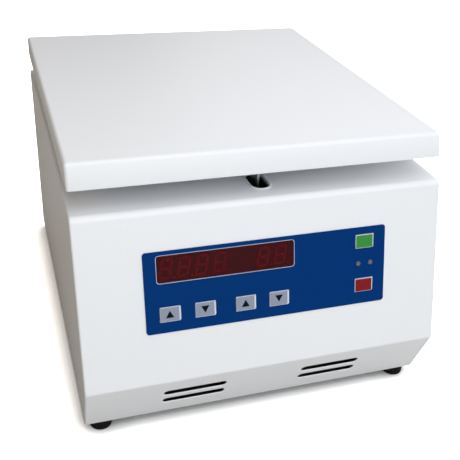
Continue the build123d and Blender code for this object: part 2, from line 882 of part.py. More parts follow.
def chamber_boot():
    """Rubber bellows between the bowl's hole and the motor's neck."""
    wall, rise = boot_wall, boot_rise
    floor = bowl_floor - bowl_sheet
    low = motor_neck_top - boot_grip
    neck = motor_neck_radius + 0.1
    fold = neck + wall + boot_pitch
    lip = bowl_hole_radius + 2 * wall + 1
    points = [(neck, low), (neck + wall, low), (neck + wall, low + rise), (fold, low + rise / 2),
              (fold + boot_pitch, low + rise + 1), (lip, floor - 0.8 * wall), (lip, floor),
              (bowl_hole_radius, floor), (bowl_hole_radius - wall / 2, floor - wall),
              (fold + 0.6, low + rise + 0.4), (fold, low + rise), (neck + wall + 0.4, low + rise + wall),
              (neck, low + rise + wall)]
    return turned(points)


def tube_holes():
    """The slanted holes of the rotor, each with a round bottom."""
    mouth = Pos(mouth_radius, 0, rotor_floor + mouth_height) * Rot(0, -tube_angle, 0)
    hole = Pos(0, 0, -tube_depth / 2 + 6) * Cylinder(tube_radius, tube_depth + 12)
    hole += Pos(0, 0, -tube_depth) * Sphere(tube_radius)
    return [at_chamber() * Rot(0, 0, 360 / tube_count * turn) * mouth * hole for turn in range(tube_count)]


def rotor_head():
    """Angle rotor: a dished top, slanted tube holes, a hollow underside and a tapered seat."""
    low = rotor_floor
    floor = low + mouth_height - (mouth_radius - hub_radius)
    rim = low + mouth_height + rim_inner - mouth_radius
    boss = low + hub_boss_height
    seat_top = low + seat_height
    hollow = low + groove_depth
    profile = [(seat_base_radius + seat_clearance, low), (groove_inner, low),
               (groove_inner + groove_depth, hollow), (groove_outer - groove_depth, hollow),
               (groove_outer, low), (rotor_radius - skirt_chamfer, low),
               (rotor_radius, low + skirt_chamfer), (rotor_radius, low + skirt_height), (rim_outer, rim),
               (rim_inner, rim), (hub_radius, floor), (hub_boss_radius + 2, floor),
               (hub_boss_radius, floor + 2),
               (hub_boss_radius, boss), (stud_radius + 0.2, boss), (stud_radius + 0.2, seat_top),
               (seat_top_radius + seat_clearance, seat_top)]
    head = turned(profile)
    for hole in tube_holes():
        head -= hole
    return head


def rotor_nut():
    """Fluted hand nut that holds the rotor on its seat."""
    low = rotor_floor + hub_boss_height
    nut = at_chamber(low) * standing(nut_radius, nut_height)
    nut = chamfer(nut.edges().filter_by(GeomType.CIRCLE).sort_by(Axis.Z)[-1], nut_chamfer)
    for turn in range(nut_flutes):
        flute = Rot(0, 0, 360 / nut_flutes * turn) * Pos(nut_radius + flute_radius / 2, 0, 0)
        nut -= at_chamber(low) * flute * Cylinder(flute_radius, 3 * nut_height)
    return nut - at_chamber(low) * Cylinder(stud_radius + thread_clearance, 2 * (stud_engagement + 0.5))


def motor_shaft():
    """Shaft with the rotor's tapered seat and its threaded end."""
    low = motor_bottom - shaft_tail
    seat = rotor_floor
    shoulder = seat - shoulder_height
    seat_top = seat + seat_height - 0.2
    stud_top = seat + hub_boss_height + stud_engagement
    points = [(0, low), (shaft_radius, low), (shaft_radius, shoulder), (shoulder_radius, shoulder),
              (shoulder_radius, seat), (seat_base_radius, seat), (seat_top_radius, seat_top),
              (stud_radius, seat_top), (stud_radius, stud_top), (0, stud_top)]
    return turned(points)


def motor_core():
    """Magnet core on the shaft."""
    inner = shaft_radius + press_clearance
    return ring(core_radius, inner, motor_bottom + core_inset, motor_top - core_inset)


def motor_stator():
    """Wound ring in the motor's housing."""
    outer = motor_radius - motor_wall - 0.1
    return ring(outer, core_radius + air_gap, motor_bottom + stator_inset, motor_top - stator_inset)


def motor_housing():
    """Motor case with a seat for each bearing and a neck up to the chamber."""
    inner = motor_radius - motor_wall
    seat = bearing_radius + press_clearance
    bore = shaft_radius + 1
    low, high, top = motor_bottom, motor_top, motor_neck_top
    floor, ledge = low + motor_end_wall, top - motor_end_wall
    cup = floor + bearing_width
    points = [(bore, low), (motor_radius, low), (motor_radius, high), (motor_neck_radius, high),
              (motor_neck_radius, top), (bore, top), (bore, ledge), (seat, ledge),
              (seat, high - motor_wall), (inner, high - motor_wall), (inner, floor + 1),
              (seat + 3, floor + 1), (seat + 3, cup), (seat, cup), (seat, floor), (bore, floor)]
    return turned(points)


def motor_bearings():
    """Upper and lower bearing of the motor's shaft."""
    inner = shaft_radius + running_clearance
    lows = (motor_bottom + motor_end_wall, motor_neck_top - motor_end_wall - bearing_width)
    return Compound([ring(bearing_radius, inner, low, low + bearing_width) for low in lows])


def motor_mount_plate():
    """Plate that carries the motor and rests on the isolators."""
    sketch = RectangleRounded(2 * mount_half, 2 * mount_half, mount_corner)
    plate = at_chamber(motor_top) * extrude(sketch, mount_plate)
    return plate - at_chamber(motor_top) * Cylinder(motor_neck_radius + 0.2, 4 * mount_plate)


def motor_isolators():
    """Waisted rubber mounts under the corners of the plate."""
    r, h, flange = isolator_radius, isolator_height, isolator_flange
    points = [(0, 0), (r, 0), (r, flange), (r - isolator_waist, h / 2), (r, h - flange), (r, h), (0, h)]
    one = revolve(Plane.XZ * make_face(Polyline(points, close=True)), Axis.Z)
    return Compound([Pos(x, y, motor_top - isolator_height) * one for x, y in isolator_places])


def support_posts():
    """Posts from the base plate up to the isolators."""
    height = motor_top - isolator_height - base_top
    one = standing(post_radius, height)
    return Compound([Pos(x, y, base_top) * one for x, y in isolator_places])


def on_drive_board(inset, start, length, low, high):
    """A block across the drive board, from its distance behind the board's front end."""
    half = drive_board_width / 2 - inset
    front = front_y + drive_board_start + start
    return box_between((drive_board_x - half, drive_board_x + half), (front, front + length), (low, high))


def heat_sink(low):
    """Finned block on the drive board."""
    sink = on_drive_board(sink_inset, sink_start, sink_length, low, low + sink_base)
    half = drive_board_width / 2 - sink_inset
    pitch = (2 * half - sink_fin) / (sink_fins - 1)
    span = (front_y + drive_board_start + sink_start, front_y + drive_board_start + sink_start + sink_length)
    for fin in range(sink_fins):
        left = drive_board_x - half + fin * pitch
        sink += box_between((left, left + sink_fin), span, (low + sink_base - 1, low + sink_height))
    return sink


def drive_board():
    """Motor drive: a board on spacers with its transformer, capacitors and heat sink."""
    low = base_top + drive_board_rise
    top = low + board_thickness
    front = front_y + drive_board_start
    board = on_drive_board(0, 0, drive_board_length, low, top)
    spacers = [Pos(drive_board_x + x, front + y, base_top) * standing(spacer_radius, drive_board_rise)
               for x, y in four_places(drive_board_width / 2 - part_inset, spacer_inset,
                                       drive_board_length - spacer_inset)]
    transformer = on_drive_board(part_inset, transformer_start, transformer_length, top,
                                 top + transformer_height)
    cans = [Pos(drive_board_x, front + capacitor_start + capacitor_pitch * n, top)
            * standing(capacitor_radius, capacitor_height) for n in range(capacitors)]
    return Compound([board, transformer, heat_sink(top)] + spacers + cans)


def latch_pocket():
    """Black cup under the latch slot, with ways in for the bolt and the lid switch."""
    top = deck_z - sheet
    width, length = slot_width + 0.4, slot_length + 0.4
    place = Pos(0, slot_y, top) * Rot(0, 0, 90)
    cup = place * extrude(SlotOverall(length + 2 * pocket_wall, width + 2 * pocket_wall), -pocket_depth)
    cup += place * extrude(SlotOverall(length + 2 * pocket_flange, width + 2 * pocket_flange), -pocket_wall)
    cup -= place * extrude(SlotOverall(length, width), pocket_wall - pocket_depth)
    cup -= Pos(width / 2, striker_y, bolt_z) * Rot(0, 90, 0) * Cylinder(bolt_radius + 0.3, 8)
    return cup - Pos(-width / 2, striker_y, switch_z) * Rot(0, 90, 0) * Cylinder(plunger_radius + 0.5, 8)


def lid_switch():
    """Small switch that the striker's side works."""
    x = -(slot_width + 0.4) / 2 - pocket_wall
    half = lid_switch_height / 2
    body = Pos(x - lid_switch_depth / 2, striker_y, switch_z) * Box(
        lid_switch_depth, lid_switch_length, lid_switch_height)
    reach = -x - striker_thickness / 2 - 0.6
    plunger = Pos(x + reach / 2, striker_y, switch_z) * Rot(0, 90, 0) * Cylinder(plunger_radius, reach)
    tag = Box(terminal_width, terminal_thickness, terminal_length)
    tags = [Pos(x - lid_switch_depth / 2, striker_y + n * terminal_pitch,
                switch_z - half - terminal_length / 2) * tag for n in (-1, 0, 1)]
    return body + plunger + tags


def lock_bolt():
    """Sliding bolt of the lid lock, drawn back from the striker."""
    pin = Pos(bolt_retract, striker_y, bolt_z) * Rot(0, 90, 0) * standing(bolt_radius, bolt_length)
    return chamfer(pin.edges().filter_by(GeomType.CIRCLE).sort_by(Axis.X)[0], 0.8)


def lock_bracket():
    """Plate under the deck that carries the lock."""
    x, half = solenoid_start, solenoid_width / 2 + 2 * bracket_margin
    return box_between((x - bracket_margin, x + solenoid_length + bracket_margin),
                       (striker_y - half, striker_y + half), (deck_z - 2 * sheet, deck_z - sheet))


def lock_solenoid():
    """Coil of the lock in its bent frame."""
    x0, x1 = solenoid_start, solenoid_start + solenoid_length
    half = solenoid_width / 2
    top = deck_z - 2 * sheet
    span = (striker_y - half, striker_y + half)
    frame = box_between((x0, x1), span, (top - sheet, top))
    for low in (x0, x1 - sheet):
        frame += box_between((low, low + sheet), span, (bolt_z - coil_radius, top))
    axis = Pos((x0 + x1) / 2, striker_y, bolt_z) * Rot(0, 90, 0)
    frame += axis * Cylinder(coil_radius, solenoid_length - 1)
    return frame - axis * Cylinder(bolt_radius + 0.1, 2 * solenoid_length)


def fan_frame():
    """Frame of the cooling fan, with struts to its motor."""
    place = Pos(fan_x, fan_front_y, fan_height) * Rot(-90, 0, 0)
    frame = extrude(RectangleRounded(fan_size, fan_size, fan_corner) - Circle(fan_bore_radius), fan_depth)
    for x, y in four_places(fan_hole_offset, -fan_hole_offset, fan_hole_offset):
        frame -= Pos(x, y, 0) * Cylinder(fan_hole_radius, 3 * fan_depth)
    struts = Circle(fan_hub_radius)
    middle = (fan_hub_radius + fan_bore_radius) / 2
    strut = Rectangle(fan_strut_width, fan_bore_radius - fan_hub_radius + fan_strut_width)
    for turn in range(3):
        struts += Rot(0, 0, 120 * turn) * Pos(0, middle) * strut
    frame += extrude(struts, fan_strut_depth)
    return place * (frame + standing(fan_spindle_radius, fan_spindle_length))


def fan_impeller():
    """Hub and blades of the fan."""
    place = Pos(fan_x, fan_front_y, fan_height) * Rot(-90, 0, 0) * Pos(0, 0, fan_wheel_gap)
    wheel = standing(fan_hub_radius, fan_wheel_depth)
    root = fan_hub_radius - fan_blade_root
    width = fan_bore_radius - root
    blade = Pos(0, root + width / 2, fan_wheel_depth / 2) * Rot(0, fan_blade_tilt, 0) * Box(
        width, width, fan_blade_thickness)
    keep = standing(fan_bore_radius - fan_tip_gap, fan_wheel_depth)
    for turn in range(fan_blades):
        wheel += Rot(0, 0, 360 / fan_blades * turn) * blade & keep
    reach = fan_spindle_length - fan_wheel_gap + 1
    return place * (wheel - Cylinder(fan_spindle_radius + running_clearance, 2 * reach))


def power_inlet():
    """Mains inlet: a flanged socket body with three blades."""
    place = Pos(inlet_x, rear_y, inlet_height) * Rot(90, 0, 0)
    w, h, cut = inlet_width / 2, inlet_opening / 2, inlet_corner
    points = [(-w, h), (w, h), (w, cut - h), (w - cut, -h), (cut - w, -h), (-w, cut - h)]
    recess = make_face(Polyline(points, close=True))
    floor = inlet_recess - inlet_flange
    back = inlet_recess + 2 * inlet_wall + 1
    flange = extrude(RectangleRounded(inlet_flange_width, inlet_flange_height, inlet_flange_corner),
                     -inlet_flange)
    body = extrude(Rectangle(inlet_width + 2 * inlet_wall, inlet_opening + 2 * inlet_wall), back)
    socket = (flange + body) - Pos(0, 0, -inlet_flange) * extrude(recess, inlet_recess)
    for x, y in ((-blade_offset, -blade_rise), (0, blade_rise), (blade_offset, -blade_rise)):
        socket += Pos(x, y, floor + 1 - blade_length / 2) * Box(blade_width, blade_height, blade_length)
        socket += Pos(x, y, back + tab_length / 2 - 0.5) * Box(tab_width, tab_thickness, tab_length)
    for x in (-inlet_screw_offset, inlet_screw_offset):
        socket -= Pos(x, 0, 0) * Cylinder(screw_hole_radius, 4 * inlet_flange)
    return place * socket


def mains_switch():
    """Frame of the mains switch."""
    place = Pos(mains_switch_x, rear_y, inlet_height) * Rot(90, 0, 0)
    w, h, wall = mains_switch_width, mains_switch_height, mains_switch_wall
    bezel = RectangleRounded(w + 2 * mains_switch_bezel, h + 2 * mains_switch_bezel, mains_switch_bezel)
    frame = extrude(bezel, -mains_switch_lip) + extrude(Rectangle(w - 0.4, h - 0.4), mains_switch_depth)
    well = extrude(Rectangle(w - 2 * wall, h - 2 * wall), mains_switch_well + 2 * mains_switch_lip)
    frame -= Pos(0, 0, -2 * mains_switch_lip) * well
    tab = Box(tab_width, tab_thickness, tab_length)
    for x, y in four_places(mains_tab_x, -mains_tab_y, mains_tab_y):
        frame += Pos(x, y, mains_switch_depth + tab_length / 2 - 0.5) * tab
    return place * frame


def mains_rocker():
    """Rocker of the mains switch, tilted to off."""
    place = Pos(mains_switch_x, rear_y, inlet_height) * Rot(90, 0, 0) * Pos(0, 0, rocker_pivot)
    h = mains_switch_height / 2 - mains_switch_wall - 3 * rocker_play
    points = [(-h, -rocker_root - rocker_dip), (0, -rocker_root), (h, -rocker_root - rocker_dip),
              (h - rocker_slope, rocker_top), (rocker_slope - h, rocker_top)]
    half = mains_switch_width / 2 - mains_switch_wall - rocker_play
    rocker = extrude(Plane.YZ * make_face(Polyline(points, close=True)), half, both=True)
    return place * Rot(rocker_tilt, 0, 0) * rocker


def repeated_parts():
    """The keys, lamps, hinges and feet, which are copies of one form."""
    parts = {name: key(name) for name in key_layout()}
    parts |= {name: indicator(x) for name, x in indicator_x.items()}
    for side, x in (("left", -hinge_x), ("right", hinge_x)):
        parts["hinge_bracket_" + side] = hinge_bracket(x)
        parts["hinge_leaf_" + side] = hinge_leaf(x)
    corners = ("front_left", "rear_left", "front_right", "rear_right")
    for name, (x, y) in zip(corners, foot_places):
        parts["foot_" + name] = Pos(x, y, 0) * foot()
    return parts


single_parts = [
    housing_shell, base_plate, rear_panel, foot_screws, case_screws, panel_overlay, display_window,
    control_board, board_standoffs, key_switches, lid_cover, lid_armour_plate, lid_liner, liner_screws,
    lid_striker, hinge_pins, chamber_bowl, chamber_collar, chamber_gasket, containment_ring, chamber_boot,
    rotor_head, rotor_nut, motor_shaft, motor_core, motor_stator, motor_housing, motor_bearings,
    motor_mount_plate, motor_isolators, support_posts, drive_board, latch_pocket, lid_switch, lock_bolt,
    lock_bracket, lock_solenoid, fan_frame, fan_impeller, power_inlet, mains_switch, mains_rocker,
]

parts = {function.__name__: function() for function in single_parts}
parts["speed_display"] = digit_module(speed_digits, speed_digits_x)
parts["timer_display"] = digit_module(timer_digits, timer_digits_x)
parts |= repeated_parts()

os.makedirs("parts", exist_ok=True)
for name, shape in parts.items():
    export_step(shape, f"parts/{name}.step")
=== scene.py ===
"""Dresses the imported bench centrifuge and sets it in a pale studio."""

import logging
import math
from collections.abc import Callable, Sequence
from dataclasses import dataclass, field
from enum import Enum

import bmesh
import bpy
from mathutils import Matrix, Vector


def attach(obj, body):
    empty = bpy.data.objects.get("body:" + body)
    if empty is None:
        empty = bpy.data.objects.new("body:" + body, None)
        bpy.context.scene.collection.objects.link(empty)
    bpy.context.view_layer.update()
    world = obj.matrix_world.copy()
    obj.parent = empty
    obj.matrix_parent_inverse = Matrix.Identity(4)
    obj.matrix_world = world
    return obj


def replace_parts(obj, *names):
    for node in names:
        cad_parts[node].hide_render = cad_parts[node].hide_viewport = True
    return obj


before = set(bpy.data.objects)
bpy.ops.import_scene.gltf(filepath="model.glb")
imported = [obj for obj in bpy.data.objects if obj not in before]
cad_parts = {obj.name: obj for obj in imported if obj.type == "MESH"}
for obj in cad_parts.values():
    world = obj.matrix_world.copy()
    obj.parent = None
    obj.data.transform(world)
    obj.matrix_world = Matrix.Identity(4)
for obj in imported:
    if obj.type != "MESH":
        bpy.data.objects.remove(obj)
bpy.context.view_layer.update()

log = logging.getLogger("centrifuge")
MM = 1000.0  # millimetres in a metre
NEAR = 0.00001  # places closer than this are one place
SQUARE = 0.9999  # directions with a larger cosine between them are one direction
UP, DOWN, REARWARDS = (0, 0, 1), (0, 0, -1), (0, 1, 0)
QUARTER = math.pi / 2
FINE_SIDES = 48
CORNER_STEPS = 6
Pair = tuple[float, float]
Triple = tuple[float, float, float]
Colour = Triple
Levels = tuple[int, int, int]
Test = Callable[[Vector], bool]
Piece = bpy.types.Object
Tree, Node, Socket = bpy.types.NodeTree, bpy.types.Node, bpy.types.NodeSocket


def linear(levels: Levels) -> Colour:
    """Turn a screen colour, 0 to 255, into the linear one that a shader takes, by the sRGB rule."""
    shares = [level / 255 for level in levels]
    return tuple(s / 12.92 if s <= 0.04045 else ((s + 0.055) / 1.055) ** 2.4 for s in shares)


class Pick(Enum):
    """What a selection in edit mode is made of."""

    VERTS = "VERT"
    EDGES = "EDGE"
    FACES = "FACE"


# Modelling steps that the sub-assemblies share


def only(piece: Piece) -> Piece:
    """Make a piece the one that is selected and active, in object mode.

    Args:
        piece: The piece.

    Returns:
        The piece.
    """
    if bpy.context.mode != "OBJECT":
        bpy.ops.object.mode_set(mode="OBJECT")
    bpy.ops.object.select_all(action="DESELECT")
    piece.select_set(True)
    bpy.context.view_layer.objects.active = piece
    return piece


def named(name: str) -> Piece:
    """Name the primitive that was just added, and its mesh.

    Args:
        name: The name.

    Returns:
        The piece.
    """
    piece = bpy.context.active_object
    piece.name = name
    piece.data.name = name
    return piece


class Editing:
    """Edit mode on one piece, as a with block."""

    def __init__(self, piece: Piece, kind: Pick = Pick.FACES) -> None:
        """Remember the piece and what is selected on it."""
        self.piece = piece
        self.kind = kind

    def __enter__(self) -> "Editing":
        """Enter edit mode with nothing selected.

        Returns:
            The block itself.
        """
        only(self.piece)
        bpy.ops.object.mode_set(mode="EDIT")
        bpy.ops.mesh.select_mode(type=self.kind.value)
        self.none()
        return self

    def __exit__(self, *_: object) -> None:
        """Go back to object mode."""
        bpy.ops.object.mode_set(mode="OBJECT")

    def none(self) -> None:
        """Select nothing."""
        bpy.ops.mesh.select_all(action="DESELECT")

    def everything(self) -> None:
        """Select the whole piece."""
        bpy.ops.mesh.select_all(action="SELECT")

    def pick(self, test: Test) -> None:
        """Select what passes a test of its middle, in place of what was selected.

        Args:
            test: Takes the middle of a vertex, edge or face.
        """
        self.none()
        mesh = bmesh.from_edit_mesh(self.piece.data)
        parts = {Pick.VERTS: mesh.verts, Pick.EDGES: mesh.edges, Pick.FACES: mesh.faces}[self.kind]
        for part in parts:
            corners = [part] if self.kind is Pick.VERTS else part.verts
            if test(sum((v.co for v in corners), Vector()) / len(corners)):
                part.select_set(True)
        bmesh.update_edit_mesh(self.piece.data)

    def faces_towards(self, direction: Sequence[float], least: float = 0.99) -> None:
        """Select the faces that look along a direction.

        Args:
            direction: The direction, of length 1.
            least: Cosine of the widest angle to it.
        """
        self.none()
        mesh = bmesh.from_edit_mesh(self.piece.data)
        mesh.normal_update()
        for face in mesh.faces:
            if face.normal.dot(Vector(direction)) > least:
                face.select_set(True)
        bmesh.update_edit_mesh(self.piece.data)

    def open_side(self, direction: Sequence[float]) -> None:
        """Delete the faces that lie square to a direction and look along it."""
        self.faces_towards(direction, SQUARE)
        bpy.ops.mesh.delete(type="FACE")

    def bevel(self, width: float, segments: int, profile: float = 0.5) -> None:
        """Bevel the selection's edges."""
        bpy.ops.mesh.bevel(offset=width, segments=segments, profile=profile, affect="EDGES")

    def extrude(self, height: float) -> None:
        """Extrude the selection upwards, or downwards by a height below zero."""
        bpy.ops.mesh.extrude_region_move(TRANSFORM_OT_translate={"value": (0, 0, height)})

    def face_outwards(self) -> None:
        """Turn all faces to point out of the piece."""
        self.everything()
        bpy.ops.mesh.normals_make_consistent(inside=False)


def added(name: str, operator: Callable[..., object], **settings: object) -> Piece:
    """Add a primitive with nothing else selected, and put its place into its mesh.

    Args:
        name: The piece's name.
        operator: The operator that adds it.
        settings: The operator's settings.

    Returns:
        The piece.
    """
    bpy.ops.object.select_all(action="DESELECT")
    operator(**settings)
    bpy.ops.object.transform_apply(location=True, rotation=True, scale=True)
    return named(name)


def block(name: str, low: Sequence[float], high: Sequence[float]) -> Piece:
    """Add a box between its lowest and its highest corner.

    Args:
        name: The piece's name.
        low: Its lowest corner.
        high: Its highest corner.

    Returns:
        The piece.
    """
    size = [b - a for a, b in zip(low, high)]
    middle = [(a + b) / 2 for a, b in zip(low, high)]
    return added(name, bpy.ops.mesh.primitive_cube_add, size=1, location=middle, scale=size)


def round_bar(name: str, radius: float, low: float, high: float, sides: int = FINE_SIDES) -> Piece:
    """Add an upright cylinder about the origin, between two heights."""
    return added(name, bpy.ops.mesh.primitive_cylinder_add, vertices=sides, radius=radius,
                 depth=high - low, location=(0, 0, (low + high) / 2))


def pull_apart(piece: Piece, reach: float) -> Piece:
    """Move the two halves of a piece apart along X, each by a reach.

    Args:
        piece: The piece, about the origin.
        reach: How far each half moves.

    Returns:
        The piece.
    """
    with Editing(piece, Pick.VERTS) as edit:
        for side in (-1, 1):
            edit.pick(lambda at, s=side: at.x * s > NEAR)
            bpy.ops.transform.translate(value=(side * reach, 0, 0))
    return piece


def stadium(name: str, length: float, width: float, low: float, high: float) -> Piece:
    """Add an upright bar with round ends, by its overall length along X and its width."""
    return pull_apart(round_bar(name, width / 2, low, high), (length - width) / 2)


def rounded_plate(name: str, width: float, height: float, low: float, high: float,
                  corner: float) -> Piece:
    """Add a flat plate with rounded corners about the origin.

    Args:
        name: The piece's name.
        width: Size along X.
        height: Size along Y.
        low: Height of its lower face.
        high: Height of its upper face.
        corner: Radius of its corners.

    Returns:
        The piece.
    """
    piece = block(name, (-width / 2, -height / 2, low), (width / 2, height / 2, high))
    with Editing(piece, Pick.EDGES) as edit:
        edit.pick(lambda at: abs(at.z - (low + high) / 2) < NEAR)
        edit.bevel(corner, CORNER_STEPS)
    return piece


def rolled_cutter(name: str, size: Sequence[float], radius: float, steps: int = 5) -> Piece:
    """Make the cutter of a long hole whose edge is rolled over on the outside.

    Args:
        name: The cutter's name.
        size: Length and width of the hole.
        radius: Radius of its rolled edge.
        steps: Steps of the edge.

    Returns:
        The cutter, with the sheet's outer face at height 0.
    """
    clear = 0.00003  # keeps the cutter's faces off the sheet's own
    above, below = 0.004, 0.006
    cutter = stadium(name, size[0] + 2 * radius, size[1] + 2 * radius, clear, above)
    with Editing(cutter) as edit:
        edit.faces_towards(DOWN)
        for step in range(steps):
            near, far = (QUARTER * count / steps for count in (step, step + 1))
            bpy.ops.mesh.inset(thickness=radius * (math.sin(far) - math.sin(near)),
                               depth=radius * (math.cos(near) - math.cos(far)))
        edit.extrude(-below)
    return cutter


def modify(piece: Piece, kind: str, **settings: object) -> None:
    """Put a modifier on a piece and apply it.

    Args:
        piece: The piece.
        kind: The modifier's type.
        settings: The modifier's settings, by name.
    """
    only(piece)
    modifier = piece.modifiers.new("step", kind)
    for setting, value in settings.items():
        setattr(modifier, setting, value)
    bpy.ops.object.modifier_apply(modifier=modifier.name)


def soften(piece: Piece, width: float, segments: int = 2, angle: float = 50.0) -> None:
    """Round a piece's edges that are sharper than an angle in degrees."""
    modify(piece, "BEVEL", width=width, segments=segments, limit_method="ANGLE",
           angle_limit=math.radians(angle), harden_normals=False)


def thicken(skin: Piece, thickness: float) -> None:
    """Give a bare skin its wall, on the inside."""
    modify(skin, "SOLIDIFY", thickness=thickness, offset=-1.0, use_even_offset=True)


def flatten(piece: Piece) -> None:
    """Weigh a piece's normals by face area, so that its large faces shade flat."""
    modify(piece, "WEIGHTED_NORMAL", weight=100, keep_sharp=True)


def cut_away(piece: Piece, cutters: Sequence[Piece]) -> None:
    """Cut shapes out of a piece and remove the cutters.

    Args:
        piece: The piece.
        cutters: The shapes, each in its place.
    """
    for cutter in cutters:
        modify(piece, "BOOLEAN", operation="DIFFERENCE", solver="EXACT", object=cutter)
        bpy.data.objects.remove(cutter)


def settle(piece: Piece, place: Matrix) -> Piece:
    """Move a piece to its place and put that place into its mesh.

    Args:
        piece: The piece.
        place: Where it goes.

    Returns:
        The piece.
    """
    only(piece)
    piece.matrix_world = place
    bpy.ops.object.transform_apply(location=True, rotation=True, scale=True)
    return piece


def copy_of(piece: Piece, name: str) -> Piece:
    """Copy a piece with its own mesh.

    Args:
        piece: The piece.
        name: The copy's name.

    Returns:
        The copy.
    """
    twin = piece.copy()
    twin.data = piece.data.copy()
    twin.name = name
    bpy.context.scene.collection.objects.link(twin)
    return twin


def joined(pieces: Sequence[Piece], name: str) -> Piece:
    """Join pieces into one.

    Args:
        pieces: The pieces, which are gone after it.
        name: The whole's name.

    Returns:
        The whole.
    """
    only(pieces[0])
    for piece in pieces[1:]:
        piece.select_set(True)
    if len(pieces) > 1:
        bpy.ops.object.join()
    return named(name)


def smooth(piece: Piece, angle: float = 35.0) -> None:
    """Shade a piece smooth, except across edges sharper than an angle in degrees."""
    only(piece)
    bpy.ops.object.shade_smooth_by_angle(angle=math.radians(angle))


# Finishes


def fill(node: Node, values: dict[str | int, object]) -> None:
    """Set the values of a node's input sockets, by name or number."""
    for socket, value in values.items():
        node.inputs[socket].default_value = value


def add_node(tree: Tree, kind: str, values: dict[str | int, object] | None = None,
             **settings: object) -> Node:
    """Add a shader node to a tree.

    Args:
        tree: The tree.
        kind: The node's type, without the word ShaderNode.
        values: Values of its input sockets.
        settings: The node's own settings, by name.

    Returns:
        The node.
    """
    made = tree.nodes.new("ShaderNode" + kind)
    for setting, value in settings.items():
        setattr(made, setting, value)
    fill(made, values or {})
    return made


def wire(tree: Tree, *pairs: Sequence[Socket]) -> None:
    """Link each pair of an output and an input socket."""
    for start, end in pairs:
        tree.links.new(start, end)


def on_piece(tree: Tree, mapping: Node, texture: Node) -> Socket:
    """Lay a texture on a piece's own coordinates, through a mapping.

    Args:
        tree: The material's nodes.
        mapping: The mapping node.
        texture: The texture node.

    Returns:
        The texture's output socket, 0 to 1.
    """
    place = add_node(tree, "TexCoord")
    wire(tree, (place.outputs["Object"], mapping.inputs["Vector"]),
         (mapping.outputs["Vector"], texture.inputs["Vector"]))
    return texture.outputs["Fac"]


@dataclass(frozen=True)
class Finish:
    """A finish with a fine mottle in its colour, roughness and surface."""

    name: str
    colour: Levels
    second: Levels
    roughness: float = 0.5
    spread: float = 0.06
    scale: float = 900.0
    relief: float = 0.03
    metallic: float = 0.0
    specular: float = 0.5
    alpha: float = 1.0
    stretch: Triple = (1.0, 1.0, 1.0)
    relief_depth: float = 0.0002
    detail: float = 3.0

    def material(self) -> bpy.types.Material:
        """Build the finish's material once, and return it after that.

        Returns:
            The material.
        """
        found = bpy.data.materials.get(self.name)
        if found:
            return found
        made = bpy.data.materials.new(self.name)
        made.use_nodes = True
        tree = made.node_tree
        shader = tree.nodes["Principled BSDF"]
        fill(shader, {"Metallic": self.metallic, "Specular IOR Level": self.specular,
                      "Alpha": self.alpha})
        marks = self.marks(tree)
        blend = add_node(tree, "Mix", {6: (*linear(self.colour), 1), 7: (*linear(self.second), 1)},
                         data_type="RGBA")
        rough = add_node(tree, "MapRange", {"To Min": max(0.02, self.roughness - self.spread),
                                            "To Max": min(1.0, self.roughness + self.spread)})
        wire(tree, (marks, blend.inputs[0]), (blend.outputs[2], shader.inputs["Base Color"]),
             (marks, rough.inputs["Value"]), (rough.outputs["Result"], shader.inputs["Roughness"]))
        if self.relief > 0:
            bump = add_node(tree, "Bump", {"Strength": self.relief, "Distance": self.relief_depth})
            wire(tree, (marks, bump.inputs["Height"]),
                 (bump.outputs["Normal"], shader.inputs["Normal"]))
        return made

    def marks(self, tree: Tree) -> Socket:
        """Make the pattern, 0 to 1, that the colour, roughness and surface follow.

        Args:
            tree: The material's nodes.

        Returns:
            The socket that carries it.
        """
        mapping = add_node(tree, "Mapping", {"Scale": self.stretch})
        noise = add_node(tree, "TexNoise", {"Scale": self.scale, "Detail": self.detail})
        return on_piece(tree, mapping, noise)


@dataclass(frozen=True)
class TurnedMetal(Finish):
    """Metal with fine rings about an upright axis, as a lathe leaves it."""

    centre: Triple = (0.0, 0.0, 0.0)
    ring_scale: float = 420.0
    distortion: float = 1.5
    detail_scale: float = 2.0

    def marks(self, tree: Tree) -> Socket:
        """Make rings about the axis, broken up by noise.

        Args:
            tree: The material's nodes.

        Returns:
            The socket that carries them, 0 to 1.
        """
        mapping = add_node(tree, "Mapping", {"Location": [-value for value in self.centre]})
        rings = add_node(tree, "TexWave", {
            "Scale": self.ring_scale, "Distortion": self.distortion, "Detail": self.detail,
            "Detail Scale": self.detail_scale}, wave_type="RINGS", rings_direction="Z")
        return on_piece(tree, mapping, rings)


def paint(piece: Piece, finish: Finish) -> None:
    """Put a finish in a piece's material slots.

    Args:
        piece: The piece.
        finish: Its finish.
    """
    made = finish.material()
    if not piece.material_slots:
        piece.data.materials.append(made)
    for slot in piece.material_slots:
        slot.material = made


WHITE_COAT = Finish("white_powder_coat", (235, 237, 241), (228, 231, 236), roughness=0.42,
                    spread=0.05, scale=1400.0, relief=0.05, specular=0.45)
LINER_COAT = Finish("liner_coat", (222, 224, 226), (212, 215, 218), scale=1100.0, relief=0.06)
PANEL_FILM = Finish("panel_film", (2, 53, 117), (0, 48, 108), spread=0.08, scale=2600.0,
                    relief=0.02, specular=0.03)
FILTER = Finish("display_filter", (50, 8, 14), (44, 6, 12), roughness=0.2, spread=0.03, scale=60.0,
                relief=0.0, alpha=0.35, specular=0.1)
DIGIT_FACE = Finish("digit_face", (82, 27, 31), (75, 24, 28), roughness=0.6, scale=300.0,
                    relief=0.02, specular=0.1)
SEGMENT = Finish("digit_segment", (128, 20, 30), (118, 17, 27), roughness=0.6, scale=500.0,
                 relief=0.01, specular=0.1)
FRAME_LINE = Finish("display_border", (206, 206, 222), (190, 192, 210), roughness=0.4, scale=700.0,
                    relief=0.02)
KEY_GREY = Finish("grey_key_face", (142, 151, 169), (136, 145, 163), scale=1500.0, specular=0.2)
